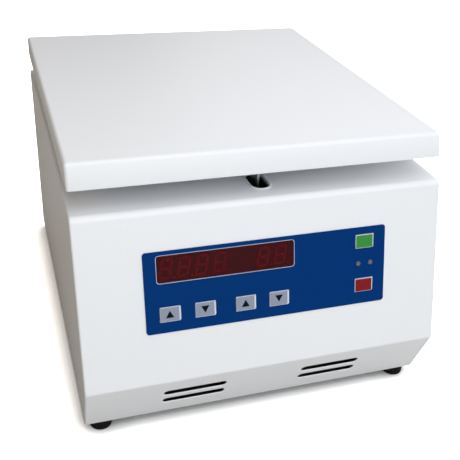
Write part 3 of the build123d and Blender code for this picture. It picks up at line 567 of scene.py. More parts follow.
KEY_EDGE = Finish("key_edge", (190, 197, 214), (180, 187, 205), roughness=0.4, scale=1500.0,
                  relief=0.02, specular=0.3)
KEY_GREEN = Finish("green_key_face", (56, 140, 58), (48, 132, 56), scale=1500.0, specular=0.2)
KEY_RED = Finish("red_key_face", (130, 12, 26), (120, 8, 22), scale=1500.0, specular=0.2)
PRINT_BLACK = Finish("print_black", (16, 16, 18), (10, 10, 12), roughness=0.6, relief=0.01,
                     specular=0.06)
LAMP = Finish("lamp_lens", (106, 106, 120), (90, 92, 106), roughness=0.3, spread=0.04, scale=500.0,
              relief=0.0, specular=0.3)
RUBBER = Finish("black_rubber", (17, 17, 18), (10, 10, 11), roughness=0.6, scale=700.0, relief=0.1,
                specular=0.14)
BLACK_PLASTIC = Finish("black_moulding", (24, 24, 25), (17, 17, 18), scale=1300.0, relief=0.1)
STEEL = Finish("drawn_steel", (188, 190, 192), (164, 166, 169), roughness=0.3, spread=0.09,
               scale=260.0, relief=0.04, metallic=1.0, stretch=(12.0, 12.0, 0.6))
PLAIN_STEEL = Finish("dull_steel", (140, 142, 144), (122, 124, 127), roughness=0.45, spread=0.1,
                     scale=320.0, relief=0.04, metallic=1.0, stretch=(0.5, 14.0, 14.0))
ZINC = Finish("zinc_plate", (196, 196, 190), (172, 173, 170), roughness=0.34, spread=0.1,
              scale=500.0, metallic=1.0)
ALUMINIUM = Finish("milled_aluminium", (206, 208, 210), (190, 192, 195), roughness=0.36,
                   spread=0.08, scale=340.0, metallic=1.0, stretch=(1.0, 10.0, 1.0))
BOARD = Finish("solder_mask", (18, 84, 52), (12, 70, 42), roughness=0.35, scale=220.0, relief=0.02)
MOTOR_COAT = Finish("motor_coat", (52, 54, 58), (44, 46, 50), relief=0.08)
WINDING = Finish("winding_wire", (168, 98, 48), (120, 64, 30), roughness=0.35, relief=0.5,
                 metallic=0.8, stretch=(1.0, 1.0, 8.0))
ROTOR_CENTRE = (0.0, 0.02245, 0.0)
ROTOR_COAT = TurnedMetal("rotor_anodised", (104, 107, 113), (92, 95, 101), roughness=0.33,
                         spread=0.05, relief=0.04, metallic=0.9, centre=ROTOR_CENTRE,
                         ring_scale=300.0)
BOWL_STEEL = TurnedMetal("bowl_steel", (198, 200, 202), (184, 186, 189), roughness=0.24,
                         spread=0.05, relief=0.02, metallic=1.0, centre=ROTOR_CENTRE,
                         ring_scale=160.0)

NODE_FINISHES: dict[Finish, tuple[str, ...]] = {
    WHITE_COAT: ("housing_shell", "rear_panel", "lid_cover", "chamber_collar"),
    LINER_COAT: ("lid_liner",),
    PANEL_FILM: ("panel_overlay",),
    FILTER: ("display_window",),
    DIGIT_FACE: ("speed_display", "timer_display"),
    KEY_GREY: ("speed_up_key", "speed_down_key", "time_up_key", "time_down_key"),
    KEY_GREEN: ("start_key",),
    KEY_RED: ("stop_key",),
    LAMP: ("run_indicator", "stop_indicator"),
    RUBBER: ("foot_front_left", "foot_front_right", "foot_rear_left", "foot_rear_right",
             "chamber_gasket", "chamber_boot", "motor_isolators"),
    BLACK_PLASTIC: ("latch_pocket", "lid_switch", "fan_frame", "fan_impeller", "power_inlet",
                    "mains_switch", "mains_rocker", "key_switches"),
    BOWL_STEEL: ("chamber_bowl",),
    STEEL: ("lid_striker", "hinge_bracket_left", "hinge_bracket_right", "hinge_leaf_left",
            "hinge_leaf_right", "hinge_pins", "motor_shaft", "lock_bolt", "motor_bearings"),
    PLAIN_STEEL: ("containment_ring", "lid_armour_plate", "base_plate", "lock_bracket",
                  "lock_solenoid", "support_posts", "motor_core"),
    ALUMINIUM: ("motor_mount_plate", "rotor_nut", "board_standoffs"),
    ROTOR_COAT: ("rotor_head",),
    ZINC: ("foot_screws", "case_screws", "liner_screws"),
    BOARD: ("control_board", "drive_board"),
    MOTOR_COAT: ("motor_housing",),
    WINDING: ("motor_stator",),
}


# Where things are


@dataclass(frozen=True)
class Layout:
    """The case's own places, in metres, that the pieces are set against."""

    half_width: float = 0.135
    deck_z: float = 0.173
    front_y: float = -0.13955
    bend_y: float = -0.17055
    bend_z: float = 0.0515
    toe_y: float = -0.15255
    foot_z: float = 0.0085
    rear_y: float = 0.16545
    sheet: float = 0.0015

    def face(self, top: Sequence[float], foot: Sequence[float], at: Sequence[float]) -> Matrix:
        """Place on a face that runs across the case: X across, Y up it, Z out of it.

        Args:
            top: The (y, z) of its upper edge.
            foot: The (y, z) of its lower edge.
            at: The place, from the middle of the upper edge.

        Returns:
            The place's frame.
        """
        up = Vector((0, top[0] - foot[0], top[1] - foot[1])).normalized()
        across = Vector((1, 0, 0))
        turn = Matrix((across, up, across.cross(up))).transposed().to_4x4()
        return Matrix.Translation((0, *top)) @ turn @ Matrix.Translation(at)

    def front(self, x: float, slope: float, out: float = 0.0) -> Matrix:
        """Place on the sloping front: across, down the slope, and out of it."""
        top, foot = (self.front_y, self.deck_z), (self.bend_y, self.bend_z)
        return self.face(top, foot, (x, -slope, out))

    def toe(self, x: float, slope: float, out: float = 0.0) -> Matrix:
        """Place on the face that turns back under the front."""
        top, foot = (self.bend_y, self.bend_z), (self.toe_y, self.foot_z)
        return self.face(top, foot, (x, -slope, out))


PLACES = Layout()


@dataclass
class SubAssembly:
    """Pieces that ride together and are reported together."""

    title: str
    made: list[Piece] = field(default_factory=list)

    def keep(self, piece: Piece, body: str, finish: Finish, slot: str) -> Piece:
        """Paint a finished piece and let it ride on a body.

        Args:
            piece: The piece, in its place.
            body: The body that carries it.
            finish: Its finish.
            slot: Not used.

        Returns:
            The piece.
        """
        paint(piece, finish)
        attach(piece, body)
        self.made.append(piece)
        return piece

    def report(self) -> None:
        """Log each piece with its size."""
        for piece in self.made:
            size = " x ".join(f"{value * MM:.1f}" for value in piece.dimensions)
            faces = len(piece.data.polygons)
            log.info("%s: %s, %s mm, %d faces", self.title, piece.name, size, faces)


@dataclass
class CaseSkin(SubAssembly):
    """The bent sheet case, with its vents and the latch's slot."""

    bend: float = 0.00389
    toe_bend: float = 0.001
    edge: float = 0.0015
    rim: float = 0.0003
    slot: Pair = (0.0256, 0.0132)
    slot_at: Pair = (0.0012, -0.112)
    slot_roll: float = 0.0004
    bead: Pair = (0.0015, 0.0009)
    bead_gap: float = 0.00001
    bead_round: float = 0.00042
    vent: Pair = (0.047, 0.0064)
    vent_x: Pair = (-0.0546, 0.0522)
    vent_slopes: Pair = (0.0176, 0.0293)
    vent_roll: float = 0.0011
    vent_sheet: float = 0.0007
    relief: Pair = (0.0253, 0.0255)
    relief_reach: float = 0.75  # past each end of the vent, in sheets
    relief_corner: float = 0.003
    chamber_radius: float = 0.092
    window: Pair = (0.095, 0.0152)
    lamp_radius: float = 0.0019
    key_gap: float = 0.00025
    cut: float = 0.004
    deep_cut: float = 0.006

    def build(self) -> None:
        """Bend the sheet, pierce it and round the pierced edges."""
        place = PLACES
        skin = block("case_skin", (-place.half_width, place.bend_y, place.foot_z),
                     (place.half_width, place.rear_y, place.deck_z))
        with Editing(skin) as edit:
            for face in (place.front(0, 0), place.toe(0, 0)):
                edit.everything()
                bpy.ops.mesh.bisect(plane_co=face.translation, plane_no=face.col[2].to_3d(),
                                    use_fill=True, clear_outer=True)
        with Editing(skin, Pick.EDGES) as edit:
            edit.pick(self.near(place.front_y, place.deck_z))
            edit.bevel(self.bend, 10)
            edit.pick(self.near(place.bend_y, place.bend_z))
            edit.bevel(self.toe_bend, 5)
            edit.pick(lambda at: abs(abs(at.x) - place.half_width) < NEAR)
            edit.bevel(self.edge, 4)
        with Editing(skin) as edit:
            for direction in (DOWN, REARWARDS):
                edit.open_side(direction)
        thicken(skin, place.sheet)
        soften(skin, self.rim, angle=60)
        cut_away(skin, self.pierced() + self.hidden_openings())
        smooth(skin, 30)
        flatten(skin)
        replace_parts(self.keep(skin, "housing", WHITE_COAT, "white_paint"), "housing_shell")
        self.build_bead()

    @staticmethod
    def near(y: float, z: float) -> Test:
        """Make a test for what lies along one bend of the case."""
        return lambda at: abs(at.y - y) < NEAR and abs(at.z - z) < NEAR

    def pierced(self) -> list[Piece]:
        """Make the cutters of the vents, with the relief behind them, and of the latch's slot.

        Returns:
            The cutters, each in its place.
        """
        cutters = []
        for x in self.vent_x:
            relief = rounded_plate("relief_cutter",
                                   self.vent[0] + 2 * self.relief_reach * PLACES.sheet,
                                   self.relief[1], -self.deep_cut, -self.vent_sheet,
                                   self.relief_corner)
            cutters.append(settle(relief, PLACES.toe(x, self.relief[0])))
            for slope in self.vent_slopes:
                vent = rolled_cutter("vent_cutter", self.vent, self.vent_roll)
                cutters.append(settle(vent, PLACES.toe(x, slope)))
        slot = rolled_cutter("slot_cutter", self.slot, self.slot_roll)
        return cutters + [settle(slot, self.slot_place())]

    def slot_place(self) -> Matrix:
        """Place on the deck, along the latch's slot."""
        turn = Matrix.Rotation(QUARTER, 4, "Z")
        return Matrix.Translation((*self.slot_at, PLACES.deck_z)) @ turn

    def build_bead(self) -> None:
        """Lay the raised bead round the latch's slot."""
        length, width = (size + self.slot_roll for size in self.slot)
        reach, rise = self.bead
        bead = stadium("slot_bead", length + 2 * reach, width + 2 * reach, self.bead_gap, rise)
        cut_away(bead, [stadium("bead_cutter", length, width, -rise, 2 * rise)])
        soften(bead, self.bead_round, 4)
        smooth(bead, 40)
        self.keep(settle(bead, self.slot_place()), "housing", WHITE_COAT, "white_paint")

    def hidden_openings(self) -> list[Piece]:
        """Make the cutters of what the chamber and the control panel cover.

        Returns:
            The cutters, each in its place.
        """
        deep = self.deep_cut
        chamber = round_bar("chamber_cutter", self.chamber_radius, -deep, deep, 96)
        settle(chamber, Matrix.Translation((0, ROTOR_CENTRE[1], PLACES.deck_z)))
        holes = [(*WINDOW_AT, *self.window)]
        holes += [(key.x, key.slope, key.width + 2 * self.key_gap, key.height + 2 * self.key_gap)
                  for key in KEYS]
        cutters = [chamber]
        for x, slope, width, height in holes:
            well = block("well_cutter", (-width / 2, -height / 2, -self.cut),
                         (width / 2, height / 2, self.cut))
            cutters.append(settle(well, PLACES.front(x, slope)))
        for x in LAMP_X:
            lamp = round_bar("lamp_cutter", self.lamp_radius, -self.cut, self.cut, 24)
            cutters.append(settle(lamp, PLACES.front(x, LAMP_SLOPE)))
        return cutters


@dataclass
class LidPan(SubAssembly):
    """The flat pan of the lid, with its skirt."""

    low: float = 0.190
    high: float = 0.2065
    front_y: float = -0.12905
    flare: float = 0.006
    rear_y: float = 0.16205
    bend: float = 0.0025
    rim: float = 0.00025
    sheet: float = 0.0012

    def build(self) -> None:
        """Draw the pan, lean its front skirt and open it underneath."""
        half = PLACES.half_width
        pan = block("lid_pan", (-half, self.front_y, self.low), (half, self.rear_y, self.high))
        with Editing(pan, Pick.EDGES) as edit:
            edit.pick(CaseSkin.near(self.front_y, self.low))
            bpy.ops.transform.translate(value=(0, -self.flare, 0))
            edit.pick(lambda at: at.z > self.low + NEAR)
            edit.bevel(self.bend, 8)
        with Editing(pan) as edit:
            edit.open_side(DOWN)
        thicken(pan, self.sheet)
        soften(pan, self.rim)
        smooth(pan, 30)
        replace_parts(self.keep(pan, "lid", WHITE_COAT, "white_paint"), "lid_cover")


@dataclass(frozen=True)
class Key:
    """A key of the control panel: its body, place, size, colour and mark."""

    node: str
    x: float
    slope: float
    width: float
    height: float
    finish: Finish
    slot: str
    mark: int = 0


GREY_KEYS = (("speed_up", -0.0733, 1), ("speed_down", -0.0482, -1), ("time_up", -0.0187, 1),
             ("time_down", 0.0063, -1))
GREY_SLOPE, BRIGHT_X = 0.0736, 0.0731
GREY_SIZE, BRIGHT_SIZE = (0.0139, 0.0106), (0.0139, 0.0102)
KEYS = [Key(f"{name}_key", x, GREY_SLOPE, *GREY_SIZE, KEY_GREY, "key_grey", mark)
        for name, x, mark in GREY_KEYS]
KEYS += [Key("start_key", BRIGHT_X, 0.0391, *BRIGHT_SIZE, KEY_GREEN, "key_green"),
         Key("stop_key", BRIGHT_X, 0.0727, *BRIGHT_SIZE, KEY_RED, "key_red")]
LAMP_X = (0.0685, 0.0782)
LAMP_SLOPE = 0.0557
WINDOW_AT = (-0.0313, 0.0413)


@dataclass
class ControlPanel(SubAssembly):
    """What the panel shows: the display's border and digits, and the keys' faces and marks."""

    window: Pair = (0.0996, 0.0198)
    window_corner: float = 0.002
    border: float = 0.00032
    border_cut: Pair = (-0.001, 0.002)
    film: float = 0.0006
    line: float = 0.0001
    key_corner: float = 0.0007
    key_rise: float = 0.0013
    key_bevel: float = 0.00045
    key_foot: float = 0.0015
    face_corner: float = 0.0004
    flange: float = 0.0012
    flange_reach: float = 0.0013
    flange_corner: float = 0.0005
    stem: Pair = (0.0022, 0.0054)
    arrow: Pair = (0.0058, 0.0051)
    arrow_rise: float = 0.00006
    digit: Pair = (0.0069, 0.0128)
    digit_sink: float = 0.00002
    stroke: float = 0.0016
    stroke_gap: float = 0.0006
    stroke_rise: float = 0.00012
    point: Pair = (0.0008, 0.0056)
    slant: float = 0.19
    lens: Pair = (0.0946, 0.0148)
    lens_span: Pair = (-0.0019, 0.00006)
    lens_gap: float = 0.0004
    speed_x: tuple[float, ...] = (-0.0743, -0.0616, -0.0489, -0.0362)
    timer_x: tuple[float, ...] = (-0.0044, 0.0083)

    def build(self) -> None:
        """Make the border, the digits, and each key's face and mark."""
        self.build_border()
        self.build_lens()
        self.build_digits("speed_digits", self.speed_x)
        self.build_digits("timer_digits", self.timer_x)
        for key in KEYS:
            self.build_key(key)

    def build_border(self) -> None:
        """Make the light line round the display."""
        width, height = self.window
        line = self.border
        outer = rounded_plate("display_border", width + line, height + line,
                              self.film - self.line, self.film + self.line,
                              self.window_corner + line / 2)
        inner = rounded_plate("border_cutter", width - line, height - line, *self.border_cut,
                              self.window_corner - line / 2)
        cut_away(outer, [inner])
        settle(outer, PLACES.front(*WINDOW_AT))
        self.keep(outer, "housing", FRAME_LINE, "key_grey")

    def build_lens(self) -> None:
        """Make the dark lens in front of the digit modules, with its flange under the filter."""
        half_x, half_y = self.lens[0] / 2, self.lens[1] / 2
        low, top = self.lens_span
        lens = block("lens", (-half_x, -half_y, low), (half_x, half_y, top / 2))
        flange = rounded_plate("flange", self.window[0] - self.lens_gap,
                               self.window[1] - self.lens_gap, top / 6, top, self.window_corner)
        whole = settle(joined([lens, flange], "display_lens"), PLACES.front(*WINDOW_AT))
        self.keep(whole, "housing", DIGIT_FACE, "digit_red")

    def segment(self, length: float) -> Piece:
        """Make one bar of a digit, pointed at both ends, along X."""
        bar = round_bar("segment", self.stroke / 2 / math.cos(math.pi / 6), 0, self.stroke_rise, 6)
        return pull_apart(bar, (length - self.stroke - self.stroke_gap) / 2)

    def figure(self) -> Piece:
        """Make a slanted figure eight of seven bars, with its point.

        Returns:
            The figure, flat about the origin.
        """
        width, height = self.digit
        turn = Matrix.Rotation(QUARTER, 4, "Z")
        bars = [settle(self.segment(width), Matrix.Translation((0, y, 0)))
                for y in (-height / 2, 0, height / 2)]
        bars += [settle(self.segment(height / 2), Matrix.Translation((x, y, 0)) @ turn)
                 for x in (-width / 2, width / 2) for y in (-height / 4, height / 4)]
        figure = joined(bars, "digit")
        lean = Matrix.Identity(4)
        lean[0][1] = self.slant
        figure.data.transform(lean)
        radius, x = self.point
        point = round_bar("point", radius, 0, self.stroke_rise, 16)
        return joined([figure, settle(point, Matrix.Translation((x, -height / 2, 0)))], "digit")

    def build_digits(self, name: str, places: Sequence[float]) -> None:
        """Set a row of unlit digits on the lens, sunk a little into it.

        Args:
            name: The row's name.
            places: Each digit's place across the panel.
        """
        pattern = self.figure()
        top = self.lens_span[1] - self.digit_sink
        row = [settle(copy_of(pattern, "digit"), PLACES.front(x, WINDOW_AT[1], top))
               for x in places]
        bpy.data.objects.remove(pattern)
        self.keep(joined(row, name), "housing", SEGMENT, "digit_red")

    def build_key(self, key: Key) -> None:
        """Make a key with its flange and stem, its coloured face, and its arrow if it has one.

        Args:
            key: The key.
        """
        radius, end = self.stem
        low = -self.key_foot - self.flange
        cap = rounded_plate(key.node + "_cap", key.width, key.height, -self.key_foot,
                            self.key_rise, self.key_corner)
        soften(cap, self.key_bevel, 3)
        flange = rounded_plate("flange", key.width + 2 * self.flange_reach,
                               key.height + 2 * self.flange_reach, low, -self.key_foot,
                               self.flange_corner)
        stem = round_bar("stem", radius, -end, low, 24)
        whole = settle(joined([cap, flange, stem], cap.name), PLACES.front(key.x, key.slope))
        rim = KEY_EDGE if key.mark else FRAME_LINE
        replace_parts(self.keep(whole, key.node, rim, key.slot), key.node)
        margin = 2 * self.key_bevel
        face = rounded_plate(key.node + "_face", key.width - margin, key.height - margin,
                             -self.line, self.line, self.face_corner)
        settle(face, PLACES.front(key.x, key.slope, self.key_rise))
        self.keep(face, key.node, key.finish, key.slot)
        if key.mark:
            arrow = self.triangle(key.node.replace("_key", "_arrow"), key.mark)
            settle(arrow, PLACES.front(key.x, key.slope, self.key_rise + self.line))
            self.keep(arrow, key.node, PRINT_BLACK, "plastic_black")

    def triangle(self, name: str, way: int) -> Piece:
        """Make an arrow head that points up the panel, or down it.

        Args:
            name: The arrow head's name.
            way: 1 to point up, -1 to point down.

        Returns:
            The arrow head, flat about the origin.
        """
        arrow = added(name, bpy.ops.mesh.primitive_circle_add, vertices=3, fill_type="NGON")
        with Editing(arrow) as edit:
            edit.everything()
            edit.extrude(self.arrow_rise)
            edit.face_outwards()
        width, height = self.arrow
        stretch = Matrix.Diagonal((width / math.sqrt(3), way * height / 1.5, 1, 1))
        settle(arrow, Matrix.Translation((0, -way * height / 6, 0)) @ stretch)
        with Editing(arrow) as edit:
            edit.face_outwards()
        return arrow


@dataclass
class RubberFeet(SubAssembly):
    """The four feet, each with a screw's recess."""

    x: float = 0.122
    front_y: float = -0.14405
    rear_y: float = 0.15145
    top_radius: float = 0.0084
    foot_radius: float = 0.0082
    toe: float = 0.0012
    recess_radius: float = 0.0044
    recess: float = 0.004
    rim: float = 0.0003

    def build(self) -> None:
        """Turn one foot and set a copy under each corner."""
        foot = round_bar("foot", self.top_radius, 0, PLACES.foot_z)
        with Editing(foot) as edit:
            edit.faces_towards(DOWN)
            share = self.foot_radius / self.top_radius
            bpy.ops.transform.resize(value=(share, share, 1))
            edit.bevel(self.toe, 5)
            edit.faces_towards(DOWN)
            bpy.ops.mesh.inset(thickness=self.foot_radius - self.toe - self.recess_radius)
            edit.extrude(self.recess)
        soften(foot, self.rim)
        smooth(foot)
        for end, y in (("front", self.front_y), ("rear", self.rear_y)):
            for side, x in (("left", -self.x), ("right", self.x)):
                one = copy_of(foot, f"rubber_foot_{end}_{side}")
                settle(one, Matrix.Translation((x, y, 0)))
                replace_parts(self.keep(one, "housing", RUBBER, "rubber_black"), f"foot_{end}_{side}")
        bpy.data.objects.remove(foot)


@dataclass(frozen=True)
class Screw:
    """A screw with a rounded head and a cross recess: head downwards, shank upwards from 0.

    The cross's half length and half width are shares of the head's radius.
    """

    head_radius: float
    head_height: float
    shank_radius: float
    length: float
    cross: Pair = (0.6, 0.13)
    crown: float = 0.6

    def build(self) -> Piece:
        """Make the screw about the origin.

        Returns:
            The screw.
        """
        third = self.head_height / 3
        screw = round_bar("screw", self.head_radius, -self.head_height, 0, 32)
        with Editing(screw) as edit:
            edit.faces_towards(UP)
            bpy.ops.mesh.inset(thickness=self.head_radius - self.shank_radius)
            edit.extrude(self.length)
            edit.faces_towards(DOWN)
            edit.bevel(third, 3, self.crown)
        long, thin = (self.head_radius * share for share in self.cross)
        low = -2 * self.head_height
        cut_away(screw, [block("arm", (-x, -y, low), (x, y, -third))
                         for x, y in ((long, thin), (thin, long))])
        smooth(screw)
        return screw

    def group(self, name: str, places: Sequence[Matrix]) -> Piece:
        """Set copies of the screw in their places, as one piece.

        Args:
            name: The piece's name.
            places: The place of each.

        Returns:
            The piece.
        """
        one = self.build()
        copies = [settle(copy_of(one, name), place) for place in places]
        bpy.data.objects.remove(one)
        return joined(copies, name)


@dataclass
class Screws(SubAssembly):
    """The screws that show: of the case, the lid's liner, the fan and the mains inlet."""

    case_screw: Screw = Screw(0.0028, 0.0016, 0.0015, 0.005)
    rear_at: Triple = (0.1285, 0.0385, 0.143)
    base_at: Triple = (0.129, -0.07955, 0.10545)
    lid_screw: Screw = Screw(0.003, 0.0016, 0.00125, 0.0092)
    lid_at: Triple = (0.104, -0.10505, 0.13805)
    lid_z: float = 0.191
    fan_screw: Screw = Screw(0.0032, 0.0015, 0.0015, 0.008)
    fan_at: Pair = (-0.052, 0.062)
    fan_reach: float = 0.03575
    inlet_screw: Screw = Screw(0.0017, 0.0014, 0.0012, 0.005)
    inlet_x: Pair = (0.072, 0.112)
    inlet_z: float = 0.044
    inlet_out: float = 0.0009

    def build(self) -> None:
        """Make each group of screws."""
        places = [self.rearwards(x, z) for x, z in self.corners(*self.rear_at)]
        places += [Matrix.Translation((x, y, PLACES.foot_z))
                   for x, y in self.corners(*self.base_at)]
        case = self.case_screw.group("pan_screws", places)
        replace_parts(self.keep(case, "housing", ZINC, "screw_zinc"), "case_screws")
        places = [Matrix.Translation((x, y, self.lid_z)) for x, y in self.corners(*self.lid_at)]
        lid = self.lid_screw.group("lid_screws", places)
        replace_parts(self.keep(lid, "lid", ZINC, "screw_zinc"), "liner_screws")
        reach = self.fan_reach
        places = [self.rearwards(self.fan_at[0] + x, self.fan_at[1] + z)
                  for x, z in self.corners(reach, -reach, reach)]
        self.keep(self.fan_screw.group("fan_screws", places), "housing", ZINC, "screw_zinc")
        places = [self.rearwards(x, self.inlet_z, self.inlet_out) for x in self.inlet_x]
        self.keep(self.inlet_screw.group("inlet_screws", places), "housing", ZINC, "screw_zinc")

    @staticmethod
    def corners(half: float, low: float, high: float) -> list[Pair]:
        """List the four corners of a rectangle, from its half width and its two heights."""
        return [(x, y) for x in (-half, half) for y in (low, high)]

    @staticmethod
    def rearwards(x: float, z: float, out: float = 0.0) -> Matrix:
        """Place on the rear face, with the head outwards."""
        turn = Matrix.Rotation(QUARTER, 4, "X")
        return Matrix.Translation((x, PLACES.rear_y + out, z)) @ turn


@dataclass
class Markings(SubAssembly):
    """The numbers at the rotor's holes and the marks on the mains rocker."""

    rim_radius: float = 0.0545
    rim_z: float = 0.162
    number_size: float = 0.0062
    thickness: float = 0.00006
    count: int = 12
    stroke_size: Pair = (0.0007, 0.0044)
    ring_radii: Pair = (0.0022, 0.0015)
    rocker_at: Triple = (0.052, 0.16545, 0.044)
    rocker_pivot: float = 0.002
    rocker_tilt: float = 10.0
    rocker_face: Triple = (0.0060, -0.00431, 10.49)

    def build(self) -> None:
        """Number the holes and mark the rocker."""
        numbers = [self.number(index) for index in range(self.count)]
        self.keep(joined(numbers, "rotor_numbers"), "rotor", KEY_EDGE, "rotor_metal")
        x, y = (size / 2 for size in self.stroke_size)
        stroke = block("stroke", (-x, -y, 0), (x, y, self.thickness))
        outer, inner = self.ring_radii
        ring = round_bar("ring", outer, 0, self.thickness, 32)
        cut_away(ring, [round_bar("ring_cutter", inner, -self.thickness, 2 * self.thickness, 32)])
        marks = [self.on_rocker(stroke, 1), self.on_rocker(ring, -1)]
        self.keep(joined(marks, "rocker_marks"), "rocker", KEY_EDGE, "plastic_black")

    def number(self, index: int) -> Piece:
        """Write one hole's number on the rotor's rim.

        Args:
            index: The hole, counted from 0.

        Returns:
            The number, in its place.
        """
        bpy.ops.object.select_all(action="DESELECT")
        bpy.ops.object.text_add()
        text = bpy.context.object.data
        text.body = str(index + 1)
        text.size = self.number_size
        text.extrude = self.thickness / 2
        text.resolution_u = 3
        text.align_x = text.align_y = "CENTER"
        bpy.ops.object.convert(target="MESH")
        piece = named("number")
        with Editing(piece, Pick.VERTS) as edit:
            edit.everything()
            bpy.ops.mesh.remove_doubles(threshold=1e-6)
        turn = math.tau * index / self.count
        at = (self.rim_radius * math.cos(turn), ROTOR_CENTRE[1] + self.rim_radius * math.sin(turn),
              self.rim_z + self.thickness / 2)
        return settle(piece, Matrix.Translation(at) @ Matrix.Rotation(turn - QUARTER, 4, "Z"))

    def on_rocker(self, mark: Piece, way: int) -> Piece:
        """Lay a mark on one slope of the rocker.

        Args:
            mark: The mark, flat about the origin.
            way: 1 for one slope, -1 for the other.

        Returns:
            The mark, in its place.
        """
        along, out, slope = self.rocker_face
        body = (Matrix.Translation(self.rocker_at) @ Matrix.Rotation(QUARTER, 4, "X")
                @ Matrix.Translation((0, 0, self.rocker_pivot))
                @ Matrix.Rotation(math.radians(self.rocker_tilt), 4, "X"))
        lie = Matrix.Rotation(math.pi - way * math.radians(slope), 4, "X")
        return settle(mark, body @ Matrix.Translation((0, way * along, out)) @ lie)


@dataclass
class CarriedNodes(SubAssembly):
    """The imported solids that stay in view, in their finishes."""

    def dress(self) -> None:
        """Put each node's finish in its slots."""
        finishes = {name: finish for finish, names in NODE_FINISHES.items() for name in names}
        for name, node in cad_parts.items():
            paint(node, finishes[name])
            log.info("%s: %s in %s", self.title, name, finishes[name].name)


@dataclass(frozen=True)
class Lamp:
    """A square soft lamp, aimed at the object: its place, side in metres, watts and colour."""

    name: str
    at: Triple
    size: float
    power: float
    colour: Colour

    def light(self, aim: Sequence[float]) -> None:
        """Add the lamp to the scene, turned towards a point.

        Args:
            aim: The point.
        """
        data = bpy.data.lights.new(self.name, "AREA")
        data.shape = "SQUARE"
        data.size, data.energy, data.color = self.size, self.power, self.colour
        lamp = bpy.data.objects.new(self.name, data)
        bpy.context.scene.collection.objects.link(lamp)
        turn = (Vector(aim) - Vector(self.at)).to_track_quat("-Z", "Y").to_matrix().to_4x4()
        lamp.matrix_world = Matrix.Translation(self.at) @ turn


COOL: Colour = (0.955, 0.98, 1.0)
WHITE: Colour = (1.0, 1.0, 1.0)
WARM: Colour = (1.0, 0.78, 0.55)
LAMPS = (
    Lamp("key_lamp", (0.2, -1.1, 1.4), 1.6, 17.6, COOL),
    Lamp("top_lamp", (0.1, 0.15, 1.8), 1.4, 5.4, COOL),
    Lamp("front_lamp", (0.05, -1.4, 0.62), 1.0, 5.9, COOL),
    Lamp("low_lamp", (0.0, -1.6, 0.25), 0.8, 1.1, COOL),
    Lamp("right_lamp", (1.6, 0.0, 0.4), 0.9, 9.0, WHITE),
    Lamp("side_lamp", (-0.6, 0.0, 0.5), 0.4, 0.5, WARM),
)


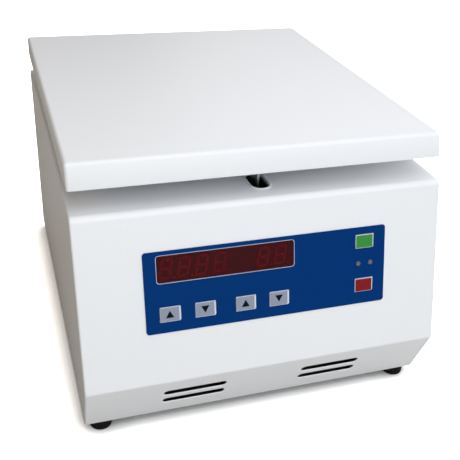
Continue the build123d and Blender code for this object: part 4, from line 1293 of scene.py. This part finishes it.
@dataclass
class Studio:
    """A pale floor, soft lamps and the camera."""

    floor_size: float = 12.0
    floor_glow: float = 0.1
    floor_bounce: Colour = (0.53, 0.515, 0.485)
    floor_white: float = 3.2
    contact: Pair = (0.018, 1.7)
    aim: Triple = (0.0, 0.0, 0.1)
    wall_edge: float = 13.2
    wall_glow: float = 1.0
    edge_span: Pair = (-0.03, 0.03)
    high_span: Pair = (0.03, 0.12)
    behind_span: Pair = (-0.35, 0.1)
    sky_glow: float = 0.08
    sky_colour: Colour = (1.0, 0.82, 0.62)
    camera_at: Triple = (-0.17072, -0.55448, 0.4037)
    right: Triple = (0.9522315, -0.3016166, 0.047777)
    up: Triple = (0.1110828, 0.4878492, 0.8658313)
    back: Triple = (-0.284457, -0.8191646, 0.4980497)
    lens: float = 57.596
    sensor: float = 36.0
    nearest: float = 0.01

    def build(self) -> None:
        """Set the floor, the lamps, the sky and the camera."""
        self.build_floor()
        for lamp in LAMPS:
            lamp.light(self.aim)
        self.build_sky()
        self.build_camera()

    def build_floor(self) -> None:
        """Make the floor: white in view with a contact shade, and greyer for bounced light."""
        floor = added("studio_floor", bpy.ops.mesh.primitive_plane_add, size=self.floor_size)
        made = bpy.data.materials.new("studio_paper")
        made.use_nodes = True
        tree = made.node_tree
        tree.nodes.remove(tree.nodes["Principled BSDF"])
        distance, power = self.contact
        near = add_node(tree, "AmbientOcclusion", {"Distance": distance})
        fall = add_node(tree, "Math", {1: power}, operation="POWER")
        white = add_node(tree, "Math", {1: self.floor_white}, operation="MULTIPLY")
        seen = add_node(tree, "BsdfDiffuse")
        glow = add_node(tree, "Emission", {"Strength": self.floor_glow})
        bounce = add_node(tree, "BsdfDiffuse", {"Color": (*self.floor_bounce, 1)})
        both, pick = add_node(tree, "AddShader"), add_node(tree, "MixShader")
        rays = add_node(tree, "LightPath")
        wire(tree, (near.outputs["AO"], fall.inputs[0]), (fall.outputs[0], white.inputs[0]),
             (white.outputs[0], seen.inputs["Color"]), (seen.outputs[0], both.inputs[0]),
             (glow.outputs[0], both.inputs[1]), (rays.outputs["Is Camera Ray"], pick.inputs[0]),
             (bounce.outputs[0], pick.inputs[1]), (both.outputs[0], pick.inputs[2]),
             (pick.outputs[0], tree.nodes["Material Output"].inputs["Surface"]))
        floor.data.materials.append(made)

    def build_sky(self) -> None:
        """Make a dim sky with a bright wall behind and to the right, as a studio has."""
        world = bpy.data.worlds.new("studio_sky")
        bpy.context.scene.world = world
        world.use_nodes = True
        tree = world.node_tree
        turn = math.radians(self.wall_edge)
        edge = self.rise(tree, (math.cos(turn), -math.sin(turn), 0), *self.edge_span)
        high = self.rise(tree, UP, *self.high_span)
        behind = self.rise(tree, REARWARDS, *self.behind_span)
        first = add_node(tree, "Math", operation="MULTIPLY")
        second = add_node(tree, "Math", operation="MULTIPLY")
        glow = add_node(tree, "MapRange", {"To Min": self.sky_glow, "To Max": self.wall_glow})
        tint = add_node(tree, "Mix", {6: (*self.sky_colour, 1), 7: (*WHITE, 1)}, data_type="RGBA")
        shine = tree.nodes["Background"].inputs
        wire(tree, (edge, first.inputs[0]), (high, first.inputs[1]),
             (first.outputs[0], second.inputs[0]), (behind, second.inputs[1]),
             (second.outputs[0], glow.inputs["Value"]), (glow.outputs["Result"], shine["Strength"]),
             (second.outputs[0], tint.inputs[0]), (tint.outputs[2], shine["Color"]))

    @staticmethod
    def rise(tree: Tree, way: Sequence[float], low: float, high: float) -> Socket:
        """Make a soft step across the sky.

        Args:
            tree: The sky's nodes.
            way: The direction that the step rises along.
            low: Where it starts, as a cosine.
            high: Where it ends.

        Returns:
            The socket that carries it, 0 to 1.
        """
        place = add_node(tree, "TexCoord")
        along = add_node(tree, "VectorMath", {1: way}, operation="DOT_PRODUCT")
        step = add_node(tree, "MapRange", {"From Min": low, "From Max": high},
                        interpolation_type="SMOOTHSTEP")
        wire(tree, (place.outputs["Generated"], along.inputs[0]),
             (along.outputs["Value"], step.inputs["Value"]))
        return step.outputs["Result"]

    def build_camera(self) -> None:
        """Set the camera where the photograph was taken from."""
        data = bpy.data.cameras.new("photo_camera")
        data.sensor_width, data.lens, data.clip_start = self.sensor, self.lens, self.nearest
        camera = bpy.data.objects.new("photo_camera", data)
        bpy.context.scene.collection.objects.link(camera)
        turn = Matrix((self.right, self.up, self.back)).transposed().to_4x4()
        camera.matrix_world = Matrix.Translation(self.camera_at) @ turn
        bpy.context.scene.camera = camera
        bpy.context.scene.view_settings.view_transform = "Standard"


def main() -> None:
    """Build the sub-assemblies in order, then the studio."""
    logging.basicConfig(level=logging.INFO, format="%(message)s")
    CarriedNodes("packed").dress()
    assemblies = [CaseSkin("case"), LidPan("lid"), ControlPanel("panel"), RubberFeet("feet"),
                  Screws("screws"), Markings("marks")]
    for assembly in assemblies:
        assembly.build()
        assembly.report()
    Studio().build()


if __name__ == "__main__":
    main()
